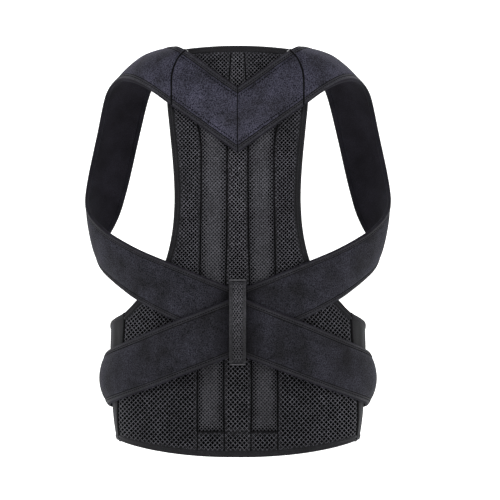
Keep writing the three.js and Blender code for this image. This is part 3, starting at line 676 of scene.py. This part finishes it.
_mid = np.zeros(1)
YOKE_RUN = run_length(strap(np.linspace(v_start(_mid)[0], seam_v(_mid)[0], 60), 0, 0))
SHOULDER_RUN = run_length(strap(np.linspace(seam_v(_mid)[0], v_end(_mid)[0], 500), 0, 0))
WAIST_RUN = run_length(waist(np.linspace(0.1, WAIST_END, 400), 0, 0))

for part, outer, inner, mats in parts:
    for base, qs, pos, flat in (
        ("yoke", yoke_q, strap_pos(v_start, seam_v, (True, True), 3), (0.047, YOKE_RUN)),
        ("shoulder_strap", long_q, strap_pos(seam_v, v_end, (True, False), 5), (0.047, SHOULDER_RUN)),
    ):
        V, F = tube(outer, inner, qs, pos)
        idx = inner_index(len(outer), len(inner), len(qs), 2 * (len(outer) - 1), {"_arm_tape": -1, "_neck_tape": 1}.get(part, 0))
        both_sides(base + (part + "_folded" if part else "_cloth"), V, F, mats, base + part, index=idx,
                   declare=(lambda o, f=flat, b=base: SHEETS.append((o, b, f, None))) if not part else None)

waist_parts = [("", CORE_OUT, CORE_IN, [BRUSHED, INNER]), ("_lower_tape", flipped(TAPE_OUT), flipped(TAPE_IN), [TAPE, INNER]), ("_upper_tape", TAPE_OUT, TAPE_IN, [TAPE, INNER])]


def waist_pos(W, H, Q, side):
    u = W / HALF
    s0 = 0.1 - W * math.sin(math.radians(22.5))
    s1 = WAIST_END - END_ROUND * np.abs(u) ** 5
    S = mix(s0, s1, Q)
    H = ends_in(H, s1 - S, 0.5, 1.2)
    P = waist(S, W, 0 * W)
    body_only = np.clip(1 - (np.abs(W) / BORDER) ** 4, 0, 1)
    near = np.abs(P[..., 0]) * (S < 60) + 99 * (S >= 60)
    H = H * (1 - 0.42 * np.exp(-(np.maximum(near - 8.5, 0) / 7) ** 2))
    wave = wrinkle(P, 40.0, 11, 0.5) * body_only * smooth(80, 130, S) + pleats(near, W)
    return waist(S, W, H + wave)


waist_q = np.concatenate([np.linspace(0, 0.985, 130), [0.99, 0.995, 1]])
for part, outer, inner, mats in waist_parts:
    V, F = tube(outer, inner, waist_q, waist_pos)
    idx = inner_index(len(outer), len(inner), len(waist_q), 2 * (len(outer) - 1), {"_lower_tape": -1, "_upper_tape": 1}.get(part, 0))
    both_sides("waist_strap" + (part + "_folded" if part else "_cloth"), V, F, mats, "waist_strap" + part, index=idx,
               declare=(lambda o: SHEETS.append((o, "waist_strap", (0.047, WAIST_RUN), None))) if not part else None)


# ---- stitches ----------------------------------------------------------------
def stitches(name, starts, ends, up, radius, mat, mirror_too=True):
    """Short rounded threads between points, pressed a little into the cloth. All are one piece."""
    d = ends - starts
    L = np.linalg.norm(d, axis=1, keepdims=True)
    d = d / L
    side = np.cross(d, up)
    side = side / np.linalg.norm(side, axis=1, keepdims=True)
    ang = np.linspace(0, 2 * math.pi, 6, endpoint=False)
    rings = []
    for t, r in ((0.0, 0.35), (0.14, 0.85), (0.5, 1.0), (0.86, 0.85), (1.0, 0.35)):
        c = starts + (ends - starts) * t + up * (radius * (0.3 * math.sin(math.pi * t) - 0.25))
        rings.append(np.stack([c + radius * r * (math.cos(a) * side * 1.25 + math.sin(a) * up) for a in ang], 1))
    V = np.stack(rings, 1)
    n, r, k, _ = V.shape
    V = V.reshape(-1, 3)
    base = (np.arange(n) * r * k)[:, None, None]
    j, i = np.meshgrid(np.arange(r - 1), np.arange(k), indexing="ij")
    a = j * k + i
    b = j * k + (i + 1) % k
    quads = np.stack([a, b, b + k, a + k], -1).reshape(1, -1, 4) + base
    cap0 = np.array([[0, 1, 2, 3], [0, 3, 4, 5]])[None] + base
    cap1 = cap0[..., ::-1] + (r - 1) * k
    F = np.concatenate([quads.reshape(-1, 4), cap0[..., ::-1].reshape(-1, 4), cap1[..., ::-1].reshape(-1, 4)])
    made = []
    for side_name in ("left", "right") if mirror_too else ("",):
        made.append(make(name + ("_" + side_name if side_name else ""), V, F, [mat], mirror=side_name == "right"))
    return made


def along(points, normals, pitch, length):
    """Stitch starts and ends of a length, a pitch apart, along a polyline."""
    s = np.concatenate([[0], np.cumsum(np.linalg.norm(np.diff(points, axis=0), axis=1))])
    a = np.arange(pitch * 0.4, s[-1] - length, pitch)
    at = lambda x, arr: np.stack([np.interp(x, s, arr[:, i]) for i in range(3)], 1)
    up = at(a + length / 2, normals)
    return at(a, points), at(a + length, points), up / np.linalg.norm(up, axis=1, keepdims=True)


def stitch_rows(name, pos, rows, qs, pitch=2.6, length=1.9, radius=0.26, mat=None):
    s, e, u = [], [], []
    one = np.ones(1)
    for w, h in rows:
        W = np.full(len(qs), w)
        A = pos(W, np.full(len(qs), h), qs, one)
        B = pos(W, np.full(len(qs), h + 1.0), qs, one)
        a, b, n = along(A, B - A, pitch, length)
        s.append(a), e.append(b), u.append(n)
    return stitches(name, np.concatenate(s), np.concatenate(e), np.concatenate(u), radius, mat or THREAD)


def cord(name, points, normals, wide, tall, mat, mirror_too=True):
    """A flattened thread along points, its height along the normals."""
    t = np.gradient(points, axis=0)
    side = np.cross(t, normals)
    side = side / np.linalg.norm(side, axis=1, keepdims=True)
    up = normals / np.linalg.norm(normals, axis=1, keepdims=True)
    ang = np.linspace(0, 2 * math.pi, 8, endpoint=False)
    V = np.stack([points + wide * math.cos(a) * side + tall * math.sin(a) * up for a in ang], 1)
    n, k, _ = V.shape
    j, i = np.meshgrid(np.arange(n - 1), np.arange(k), indexing="ij")
    a, b = (j * k + i).ravel(), (j * k + (i + 1) % k).ravel()
    cap = np.array([[0, 7, 6, 1], [1, 6, 5, 2], [2, 5, 4, 3]])
    F = np.concatenate([np.stack([a, b, b + k, a + k], 1), cap, cap[:, ::-1] + (n - 1) * k])
    return [make(name + ("_" + s if s else ""), V.reshape(-1, 3), F, [mat], mirror=s == "right")
            for s in (("left", "right") if mirror_too else ("",))]


_w = np.linspace(-BORDER - 5.4, BORDER + 5.4, 60)
_v = seam_v(_w / HALF)
_p = strap(_v, _w, 0.8 + 0 * _w)
cord("shoulder_seam", _p, strap(_v, _w, 2 + 0 * _w) - _p, 1.2, 0.5, SEAM_MAT)
_v = v_start(_w / HALF)
_p = strap(_v, _w, 0.8 + 0 * _w)
_p[:, 0] = 0.0
cord("yoke_centre_seam", _p, strap(_v, _w, 2 + 0 * _w) * [0, 1, 1] - _p, 0.5, 0.3, SEAM_MAT, mirror_too=False)
fine_q = np.linspace(0.002, 0.998, 400)
TAPE_ROWS = [(-T0 - 2.0, 1.56), (T0 + 2.0, 1.56)]


def border_lines(name, pos, qs):
    """A thin dark cord in the groove between the cloth and each of its tapes."""
    one = np.ones(1)
    for edge, w in (("arm", -T0), ("neck", T0)):
        W = np.full(len(qs), w)
        P = pos(W, np.full(len(qs), 1.42), qs, one)
        Q = pos(W, np.full(len(qs), 2.42), qs, one)
        cord(f"{name}_{edge}_groove", P, Q - P, 0.5, 0.28, SEAM_MAT)


yoke_place = strap_pos(v_start, seam_v, (True, True), 3)
shoulder_place = strap_pos(seam_v, v_end, (True, False), 5)
border_lines("yoke", yoke_place, np.linspace(0.012, 0.985, 90))
border_lines("shoulder_strap", shoulder_place, np.linspace(0.004, 0.995, 230))
border_lines("waist_strap", waist_pos, np.linspace(0.004, 0.985, 190))
stitch_rows("yoke_stitches", yoke_place, TAPE_ROWS, fine_q, pitch=3.1, length=2.1, radius=0.42)
stitch_rows("yoke_sunk_stitches", yoke_place, [(-T0 + 3.2, 1.93), (T0 - 3.2, 1.93)], fine_q,
            pitch=3.1, length=1.9, radius=0.52, mat=SEAM_MAT)
stitch_rows("shoulder_strap_stitches", shoulder_place, TAPE_ROWS, fine_q, pitch=3.1, length=2.1, radius=0.42)
stitch_rows("waist_strap_stitches", waist_pos, TAPE_ROWS, fine_q, pitch=3.1, length=2.1, radius=0.42)


# ---- back panel --------------------------------------------------------------
def inset(distance):
    z, half = OUTLINE["z"][::-1], OUTLINE["half"][::-1]
    out = []
    for i in range(len(z)):
        p, q = max(0, i - 1), min(len(z) - 1, i + 1)
        dz, dx = z[q] - z[p], half[q] - half[p]
        l = math.hypot(dx, dz)
        out.append((z[i] - abs(dx) / l * distance * (1 if dx > 0 else -1), half[i] - abs(dz) / l * distance))
    return np.array(out)


CORNER_Z = 10.0
_in = inset(TAPE_W)
_in = _in[(_in[:, 0] > CORNER_TAPE + 0.5)]
IN_TABLE = table("z half", [tuple(r) for r in _in[1:]] + [(CORNER_TAPE, float(seam_half(CORNER_TAPE)))])


def mesh_half(z):
    """Half width of the visible mesh at a height."""
    z = np.asarray(z, float)
    return np.where(z > CORNER_TAPE, look(IN_TABLE, "z", "half", np.clip(z, CORNER_TAPE, 299)), seam_half(np.minimum(z, CORNER_TAPE)))


def pocket_seams(z):
    return look(POCKET, "z", "inner", z), look(POCKET, "z", "outer", z)


CROSS_SEAM = -120.0


def border_distance(x, z):
    """Distance in from the tapes and the side seam, roughly perpendicular."""
    d = mesh_half(z) - np.abs(x)
    slope = (mesh_half(z + 1.5) - mesh_half(z - 1.5)) / 3
    d = d / np.sqrt(1 + slope ** 2)
    d = np.minimum(d, top_edge(x) - TAPE_W - z)
    return np.minimum(d, z - bottom_edge(x) - TAPE_W)


def seam_distance(x, z):
    si, so = pocket_seams(z)
    d = np.minimum(np.abs(np.abs(x) - si), np.abs(np.abs(x) - so) + np.where(z > 232, 50, 0))
    cross = np.abs(z - CROSS_SEAM) + np.where(np.abs(x) > so, 50, 0)
    return np.minimum(d, cross)


def mesh_height(x, z):
    """The mesh's lift off the body: puffed between its seams, drawn in at them."""
    d = np.minimum(seam_distance(x, z), np.maximum(border_distance(x, z), 0) + 0.6)
    return 3.2 + 1.15 * (1 - np.exp(-(d / 2.3) ** 1.3)) + 0.35 * (1 - np.exp(-d / 9))


def pocket_height(x, z):
    si, so = pocket_seams(z)
    d = np.minimum(np.abs(x) - si, so - np.abs(x))
    d = np.minimum(d, z - CROSS_SEAM)
    d = np.maximum(d, 0)
    return 3.7 + 1.7 * (1 - np.exp(-(d / 2.6) ** 1.4)) + 0.6 * (1 - np.exp(-d / 7))


def lattice(name, rows, columns, centre, inside, place, rim, ground, depth, materials, node_name=None, mirror_too=False, third=None):
    """Knitted mesh: diamond holes in staggered rows. centre(i, j) gives a point (x, z) for any half-step i; place(x, z, down) lifts it onto the piece. A border corner is tucked under."""
    I, J = np.meshgrid(columns, rows, indexing="ij")
    I, J = I.ravel(), J.ravel()
    step = I + 0.5 * (J & 1)
    cx, cz = centre(step, J)
    keep = inside(cx, cz)
    I, J, step = I[keep], J[keep], step[keep]
    cx, cz = cx[keep], cz[keep]
    if callable(rim):
        rim, ground = rim(cx, cz)[:, None], ground(cx, cz)[:, None]
    # corners are keyed by twice their place along the row, and the row
    def key(st, jj):
        return (np.round(st * 2).astype(int) + 4096) * 8192 + (jj + 4096)
    ks = np.stack([key(step - 0.5, J), key(step, J - 1), key(step + 0.5, J), key(step, J + 1)], 1)
    corner_step = np.stack([step - 0.5, step, step + 0.5, step], 1)
    corner_row = np.stack([J, J - 1, J, J + 1], 1)
    uniq, first, inv, count = np.unique(ks.ravel(), return_index=True, return_inverse=True, return_counts=True)
    ux, uz = centre(corner_step.ravel()[first], corner_row.ravel()[first])
    edge = count < 4
    C = place(ux, uz, np.where(edge, 1.3, 0.0))
    n = len(I)
    inv = inv.reshape(n, 4)
    qx, qz = ux[inv], uz[inv]
    X, Z = cx[:, None], cz[:, None]
    R = place(mix(X, qx, rim), mix(Z, qz, rim), np.full((n, 4), 0.28))
    G = place(mix(X, qx, ground), mix(Z, qz, ground), np.full((n, 4), depth))
    V = np.concatenate([C, R.reshape(-1, 3), G.reshape(-1, 3)])
    r0 = len(C) + np.arange(n)[:, None] * 4
    g0 = r0 + 4 * n
    F, idx = [], []
    for k in range(4):
        l = (k + 1) % 4
        F.append(np.stack([inv[:, k], inv[:, l], r0[:, 0] + l, r0[:, 0] + k], 1))
        idx.append(np.zeros(n, int))
    for k in range(4):
        l = (k + 1) % 4
        F.append(np.stack([r0[:, 0] + k, r0[:, 0] + l, g0[:, 0] + l, g0[:, 0] + k], 1))
        idx.append(np.ones(n, int))
    F.append(np.stack([g0[:, 0] + k for k in range(4)], 1))
    idx.append(np.ones(n, int))
    F, idx = np.concatenate(F), np.concatenate(idx)
    if third is not None:
        which = third(cx, cz)
        idx = np.where((idx == which[1]) & np.tile(which[0], 9), 2, idx)
    # faces look outwards, away from the body
    a, b, c = V[F[0, 0]], V[F[0, 1]], V[F[0, 2]]
    away = place(cx[:1], cz[:1], np.array([-1.0]))[0] - place(cx[:1], cz[:1], np.array([0.0]))[0]
    flip = float(np.dot(np.cross(b - a, c - a), away)) < 0
    made = []
    for side in ("left", "right") if mirror_too else ("",):
        o = make(name + ("_" + side if side else ""), V, F, materials, index=idx, flip=flip, mirror=side == "right")
        if node_name:
            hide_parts(node_name + ("_" + side if side else ""))
        made.append(o)
    return made


# Rows grow a little taller and wider towards the waist, where the mesh is stretched.
_z, _rows = 302.0, []
while _z > -150:
    _rows.append(_z)
    _z -= 2.15 + 0.45 * float(smooth(90, -40, _z))
ROW_Z = np.array(_rows)


def panel_centre(i, j):
    j = np.asarray(j, float)
    z = np.interp(j, np.arange(len(ROW_Z)), ROW_Z)
    pitch = 4.15 + 0.75 * smooth(90, -40, z)
    return i * pitch, z


def panel_inside(x, z):
    si, so = pocket_seams(z)
    in_pocket = (np.abs(x) > si + 0.4) & (np.abs(x) < so - 0.4) & (z > CROSS_SEAM + 0.4) & (z < 226)
    return (border_distance(x, z) > -3.0) & ~in_pocket & (z < top_edge(x) - 2.5) & (z > bottom_edge(x) + 2.5)


# the strands between the inner pocket seams take the lighter copy: a painted highlight down the spine channel
panel_mesh = lattice(
    "panel_mesh", np.arange(1, len(ROW_Z) - 1), np.arange(-34, 35), panel_centre, panel_inside,
    lambda x, z, down: back(x, z, mesh_height(x, z) - down), 0.77, 0.55, 1.7, [STRAND, HOLE_SHADE, PAINTED_LIT_STRAND],
    node_name="back_panel", third=lambda x, z: (np.abs(x) < pocket_seams(z)[0] - 0.5, 0))[0]

_pz = np.arange(222.0, -121, -2.05)


def pocket_centre(i, j):
    j = np.asarray(j, float)
    z = np.interp(j, np.arange(len(_pz)), _pz)
    si, so = pocket_seams(z)
    return -(si + so) / 2 + i * 3.9, z


def pocket_inside(x, z):
    si, so = pocket_seams(z)
    a = np.abs(x)
    return (a > si + 0.2) & (a < so - 0.2) & (z > CROSS_SEAM + 0.3)


def over_stay(x, z):
    """True over the stay's flat middle, where the mesh lies on cloth and its holes look grey."""
    si, so = pocket_seams(z)
    d = np.minimum(np.abs(x) - si, so - np.abs(x)) + 1.2 * np.sin(z * 1.7 + x * 2.3)
    return (d > 6.0) & (z > CROSS_SEAM + 8), 1


def pocket_depth(x, z):
    """0 at the pocket's seams, 1 over the stay."""
    si, so = pocket_seams(z)
    d = np.minimum(np.minimum(np.abs(x) - si, so - np.abs(x)), z - CROSS_SEAM)
    return smooth(2.5, 9.5, d + 0.8 * np.sin(z * 0.21) + 0.6 * np.sin(z * 1.3 + x))


lattice("stay_pocket_mesh", np.arange(1, len(_pz) - 1), np.arange(-7, 8), pocket_centre, pocket_inside,
        lambda x, z, down: back(x, z, pocket_height(x, z) - down), lambda x, z: mix(0.74, 0.58, pocket_depth(x, z)),
        lambda x, z: mix(0.50, 0.38, pocket_depth(x, z)), 0.8, [FINE_STRAND, HOLE_SHADE, POCKET_HOLE],
        node_name="stay_pocket", mirror_too=True, third=over_stay)


# The foam behind the mesh, with the lining on the wearer's side.
def panel_back():
    nz, nx = 150, 64
    p = np.linspace(-1, 1, nx)
    top = np.linspace(0, 1, 90)
    zs = np.concatenate([mix(TOP_Z - 3.2, CORNER_TAPE, top), mix(CORNER_TAPE, BOTTOM_Z + 3.4, np.linspace(0, 1, 61)[1:])])
    P, Z0 = np.meshgrid(p, zs)
    x = P * (mesh_half(Z0) + 3.0 * smooth(CORNER_TAPE, 14, Z0))
    share = smooth(CORNER_TAPE, CORE_END, Z0)
    z = Z0 + (bottom_edge(x) - BOTTOM_Z) * share
    z = np.where(z > top_edge(x) - 3.2, top_edge(x) - 3.2, z)
    quilt = 0.45 * np.exp(-(seam_distance(x, z) / 2.5) ** 2)
    O = back(x, z, 2.6 + 0 * x)
    N = back(x, z, 0.1 + quilt)
    V = np.concatenate([O.reshape(-1, 3), N.reshape(-1, 3)])
    ny = len(zs)
    j, i = np.meshgrid(np.arange(ny - 1), np.arange(nx - 1), indexing="ij")
    a = (j * nx + i).ravel()
    s = nx * ny
    F = [np.stack([a, a + 1, a + nx + 1, a + nx], 1), np.stack([a + nx, a + nx + 1, a + 1, a], 1) + s]
    e = np.arange(nx - 1)
    F.append(np.stack([e + s, e + 1 + s, e + 1, e], 1))
    e2 = e + (ny - 1) * nx
    F.append(np.stack([e2, e2 + 1, e2 + 1 + s, e2 + s], 1))
    r = np.arange(ny - 1) * nx
    F.append(np.stack([r, r + nx, r + nx + s, r + s], 1))
    r2 = r + nx - 1
    F.append(np.stack([r2 + s, r2 + nx + s, r2 + nx, r2], 1))
    return make("panel_foam_and_lining", V, np.concatenate(F), [LINING])


foam = panel_back()
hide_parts("back_panel")

# Folded tapes of the panel, over its edge from face to lining.
PT_OUT = [(-0.4, 3.3), (0.0, 4.15), (0.6, 4.5), (2.4, 4.55), (3.0, 4.2), (3.4, 4.1), (3.8, 4.25), (4.6, 4.55),
          (5.6, 4.3), (6.3, 3.6), (6.7, 2.6)]
PT_IN = [(-0.4, 0.4), (0.0, -0.1), (0.6, -0.35), (2.4, -0.4), (3.0, -0.4), (3.4, -0.4), (3.8, -0.4), (4.6, -0.35),
         (5.6, -0.2), (6.3, 0.4), (6.7, 1.4)]
_o = np.stack([OUTLINE["z"][::-1], OUTLINE["half"][::-1]], 1)
_i = inset(TAPE_W)
_o = np.concatenate([_o, [_o[-1]]])
_i = np.concatenate([_i, [[CORNER_TAPE, float(seam_half(CORNER_TAPE))]]])
_k = np.arange(len(_o), dtype=float)


def smooth_rows(rows, q):
    t = {"k": _k, "z": rows[:, 0], "x": rows[:, 1]}
    return look(t, "k", "z", q), look(t, "k", "x", q)


def edge_pos(W, H, Q, side):
    oz, ox = smooth_rows(_o, Q)
    iz, ix = smooth_rows(_i, Q)
    t = W / TAPE_W
    return back(-mix(ix, ox, t), mix(iz, oz, t), H)


edge_q = np.linspace(0, _k[-1], 150)
V, F = tube(PT_OUT, PT_IN, edge_q, edge_pos)
both_sides("panel_edge_tape_folded", V, F, [DARK_TAPE], "panel_edge_tape")
stitch_rows("panel_edge_stitches", edge_pos, [(0.9, 4.5), (3.4, 4.05)], np.linspace(0.2, _k[-1] - 0.3, 400), mat=SEAM_MAT)


def top_pos(W, H, Q, side):
    x = Q * mix(50.6, 57.0, W / TAPE_W)
    return back(x, top_edge(x) - TAPE_W + W, H)


V, F = tube(PT_OUT, PT_IN, np.linspace(-1, 1, 70), top_pos)
o = make("top_edge_tape_folded", V, F, [DARK_TAPE])
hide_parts("top_edge_tape")


def bottom_pos(W, H, Q, side):
    end = CORE_END - GAP - W
    x, z = bent(Q, end, 1.0)
    return back(x, z, H)


V, F = tube(PT_OUT, PT_IN, np.linspace(-1, 1, 140), bottom_pos)
o = make("bottom_edge_tape_folded", V, F, [DARK_TAPE])
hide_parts("bottom_edge_tape")


# Sewn seams: a dark cord of thread lying in each groove.
def cord_line(name, xs, zs, lifts, wide, tall, mat, mirror_too=True):
    xs, zs, lifts = map(np.asarray, (xs, zs, lifts))
    dx, dz = np.gradient(xs), np.gradient(zs)
    l = np.hypot(dx, dz)
    nx_, nz_ = dz / l, -dx / l
    ring = [(math.cos(a), math.sin(a)) for a in np.linspace(0, 2 * math.pi, 8, endpoint=False)]
    V = np.stack([back(xs + nx_ * wide * c, zs + nz_ * wide * c, lifts + tall * s) for c, s in ring], 1)
    n, k, _ = V.shape
    j, i = np.meshgrid(np.arange(n - 1), np.arange(k), indexing="ij")
    a, b = (j * k + i).ravel(), (j * k + (i + 1) % k).ravel()
    F = [np.stack([a, b, b + k, a + k], 1)]
    cap = np.array([[0, 7, 6, 1], [1, 6, 5, 2], [2, 5, 4, 3]])
    F += [cap, cap[:, ::-1] + (n - 1) * k]
    F = np.concatenate(F)
    return [make(name + ("_" + s if s else ""), V.reshape(-1, 3), F, [mat], mirror=s == "right")
            for s in (("left", "right") if mirror_too else ("",))]


zs = np.linspace(296.5, -141.5, 260)
xi, xo = pocket_seams(zs)
cord_line("inner_seam", -xi, zs, 3.45 + 0 * zs, 0.75, 0.55, SEAM_MAT)
zs = np.linspace(232, -141.0, 220)
xi, xo = pocket_seams(zs)
cord_line("outer_seam", -xo, zs, 3.45 + 0 * zs, 0.75, 0.55, SEAM_MAT)
xs = np.linspace(-43.4, 43.4, 60)
cord_line("cross_seam", xs, CROSS_SEAM + 0 * xs, 3.3 + 0 * xs, 0.42, 0.4, SEAM_MAT, mirror_too=False)
zs = np.linspace(288, -126, 260)
xi, xo = pocket_seams(zs)
cord_line("lining_inner_seam", -xi, zs, 0.5 + 0 * zs, 0.55, 0.35, SEAM_MAT)
zs = np.linspace(226, -126, 220)
xi, xo = pocket_seams(zs)
cord_line("lining_outer_seam", -xo, zs, 0.5 + 0 * zs, 0.55, 0.35, SEAM_MAT)
zs = np.linspace(9.5, -135.5, 120)
cord_line("side_seam", -seam_half(zs) - 0.1, zs, 3.75 + 0 * zs, 1.25, 0.75, SEAM_MAT)


# ---- side wings --------------------------------------------------------------
def wing_row(z):
    s = s_of_angle(angle_of_x(seam_half(z) + 0.1, z))
    b, t = look(WING, "s", "bottom", s), look(WING, "s", "top", s)
    return s, (z - b) / (t - b)


WT = 5.5
wing_w = np.concatenate([[-135 + WT - 0.8, -135 + WT], np.linspace(-135 + WT + 1, 10 - WT - 1, 44), [10 - WT, 10 - WT + 0.8]])
WING_O = [(w, 3.1) for w in wing_w]
WING_I = [(w, 0.5) for w in wing_w]
WLT = [(-0.15, 1.9), (0.1, 3.2), (0.6, 3.6), (2.4, 3.7), (4.2, 3.5), (4.9, 3.1), (5.3, 2.6)]
WLI = [(-0.15, 1.4), (0.1, 0.6), (0.6, 0.25), (2.4, 0.12), (4.2, 0.2), (4.9, 0.7), (5.3, 1.3)]


def wing_pos(over, band):
    end = FRONT + (WING_PAST_LEFT if over else WING_PAST_RIGHT)

    def pos(W, H, Q, side):
        if band == "lower":
            z = -135 + WT - W
        elif band == "upper":
            z = 10 - WT + W
        else:
            z = W
        s0, q = wing_row(z)
        close = 7 * np.abs(2 * q - 1) ** 8
        S = mix(s0, end - close, Q)
        fade = smooth(0, 14, S - s0) * smooth(0, 12, end - S)
        P = wing_point(S, q, over, 0 * S)
        wave = (wrinkle(P, 46.0, 21, 0.45) + 0.22 * np.sin(S / 3.1) * smooth(0.98, 0.9, q) * smooth(0.02, 0.1, q)) * fade * (1 if band == "" else 0)
        return wing_point(S, q, over, ends_in(H - 1.8, S - s0, 0.3, 1.2) + 1.8 + wave)
    return pos


wing_q = np.linspace(0, 1, 150)
for side in ("left", "right"):
    over = side == "left"
    for band, outer, inner, mat in (("", WING_O, WING_I, ELASTIC), ("lower", WLT, WLI, WING_TAPE), ("upper", WLT, WLI, WING_TAPE)):
        V, F = tube(outer, inner, wing_q, wing_pos(over, band))
        name = f"side_wing_{band}_tape_{side}" if band else f"side_wing_{side}"
        o = make(("side_wing_" + (band + "_tape_folded_" if band else "cloth_") + side), V, F, [mat], mirror=not over)
        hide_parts(name)
        if not band:
            s0 = float(wing_row(np.array(-62.0))[0])
            run = np.linspace(s0, FRONT + (WING_PAST_LEFT if over else WING_PAST_RIGHT), 200)
            widths = look(WING, "s", "top", run) - look(WING, "s", "bottom", run) - 2 * WT
            SHEETS.append((o, "side_wing", (round(float(widths.max()) * MM, 3), round(float(run[-1] - s0) * MM, 3)),
                           round(float(widths.mean() * (run[-1] - s0)) * 1e-6, 4)))


# ---- keeper loop -------------------------------------------------------------
kz = np.concatenate([np.linspace(47.4, 30, 60), np.linspace(30, -38, 70)[1:], np.linspace(-38, -47.6, 40)[1:]])
_kl = np.interp(kz, KEEPER["z"], KEEPER["lift"])


def soften(a, times=3):
    for _ in range(times):
        a = np.concatenate([[a[0]], (a[:-2] + 2 * a[1:-1] + a[2:]) / 4, [a[-1]]])
    return a


kl = soften(_kl, 4)
kl = np.maximum(kl, np.where((kz < 39) & (kz > -39.5), _kl, 0))
_dz, _dl = np.gradient(kz), np.gradient(kl)
_l = np.hypot(_dz, _dl)
KN = (_dl / _l, -_dz / _l)


def keeper_pos(W, H, Q, side):
    i = Q
    z = np.interp(i, np.arange(len(kz)), kz)
    l = np.interp(i, np.arange(len(kz)), kl)
    nz = np.interp(i, np.arange(len(kz)), KN[0])
    nl = np.interp(i, np.arange(len(kz)), KN[1])
    return back(W, z + nz * H, l + nl * H)


kw = [-9, -8.8, -8.3, -7.2, -6.2, -5.9, -4, -2, 0, 2, 4, 5.9, 6.2, 7.2, 8.3, 8.8, 9]
ko = [0.8, 1.2, 1.5, 1.55, 1.5, 0.9, 0.8, 0.8, 0.8, 0.8, 0.8, 0.9, 1.5, 1.55, 1.5, 1.2, 0.8]
ki = [0.6, 0.25, 0.05, 0, 0, 0, 0, 0, 0, 0, 0, 0, 0, 0, 0.05, 0.25, 0.6]
V, F = tube(list(zip(kw, ko)), list(zip(kw, ki)), np.arange(len(kz), dtype=float), keeper_pos)
o = make("keeper_loop_web", V, F, [WEB_EDGE])
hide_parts("keeper_loop")
_ks = np.concatenate([[0], np.cumsum(_l[1:])])


def keeper_centre(i, j):
    s = np.asarray(j, float) * 2.25
    return i * 3.1, s


def keeper_place(x, s, down):
    q = np.interp(s, _ks, np.arange(len(kz)))
    return keeper_pos(x, 1.6 - down * 0.55, q, 1)


lattice("keeper_mesh", np.arange(1, int(_ks[-1] / 2.25)), np.arange(-3, 4), keeper_centre, lambda x, s: (np.abs(x) < 6.2) & (s > 3.4) & (s < _ks[-1] - 3.4),
        keeper_place, 0.58, 0.40, 1.2, [WEB, HOLE_SHADE])


def bar_tack(name, z):
    n = 24
    x = np.linspace(-8.2, 8.2, n)
    up = np.where(np.arange(n) % 2, 1.0, -1.0)
    q = np.interp(-z, -kz, np.arange(len(kz)))
    P = keeper_pos(x, 1.75 + 0 * x, q + up / np.abs(np.mean(_dz[:10])), 1)
    N = keeper_pos(x, 2.75 + 0 * x, q + up / np.abs(np.mean(_dz[:10])), 1) - P
    N = N[:-1] / np.linalg.norm(N[:-1], axis=1, keepdims=True)
    return stitches(name, P[:-1], P[1:], N, 0.46, TACK, mirror_too=False)


bar_tack("bar_tack_top", 45.9)
bar_tack("bar_tack_bottom", -46.1)

# ---- floor -------------------------------------------------------------------
floor_mat, nt, b = new_material("pale_floor")
b.inputs["Roughness"].default_value = 0.9
b.inputs["Specular IOR Level"].default_value = 0.1
co = nt.nodes.new("ShaderNodeTexCoord")
fn = node(nt, "ShaderNodeTexNoise", Scale=3.0, Detail=2.0)
nt.links.new(co.outputs["Object"], fn.inputs["Vector"])
pale = ramp(nt, fn.outputs["Fac"], [(0.3, (0.93, 0.93, 0.93)), (0.7, (0.95, 0.95, 0.95))])
nt.links.new(pale, b.inputs["Base Color"])
nt.links.new(pale, b.inputs["Emission Color"])
b.inputs["Emission Strength"].default_value = 0.86
# a wide tray: a tall curved backdrop on one side, and low rims far off on the others
sweep = [(-16.6, 3.2), (-16.2, 1.7), (-15.4, 0.5), (-14.4, -0.22), (-13.2, -0.42), (4.4, -0.42)] + [(4.4 + 2.4 * math.sin(t), -0.42 + 2.4 * (1 - math.cos(t))) for t in np.linspace(0.05, math.pi / 2, 24)] + [(6.8, 12.0)]
me = bpy.data.meshes.new("floor")
rims = [(-16.6, 3.6), (-16.2, 2.1), (-15.4, 0.9), (-14.4, 0.2), (-13.2, 0.0), (13.2, 0.0), (14.4, 0.2), (15.4, 0.9), (16.2, 2.1), (16.6, 3.6)]
wide = len(rims)
me.from_pydata([(x, y, max(z, -0.42 + r)) for y, z in sweep for x, r in rims], [],
               [(i * wide + j, i * wide + j + 1, (i + 1) * wide + j + 1, (i + 1) * wide + j) for i in range(len(sweep) - 1) for j in range(wide - 1)])
me.materials.append(floor_mat)
me.polygons.foreach_set("use_smooth", np.full(len(me.polygons), True))
floor = bpy.data.objects.new("floor", me)
scene.collection.objects.link(floor)
floor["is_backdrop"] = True

for cloth_piece, family, flat, area in SHEETS:
    side = cloth_piece.name.rsplit("_", 1)[1]

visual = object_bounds()
{"cad": [list(map(float, c)) for c in CAD_BOX], "visual": [list(map(float, c)) for c in visual]}
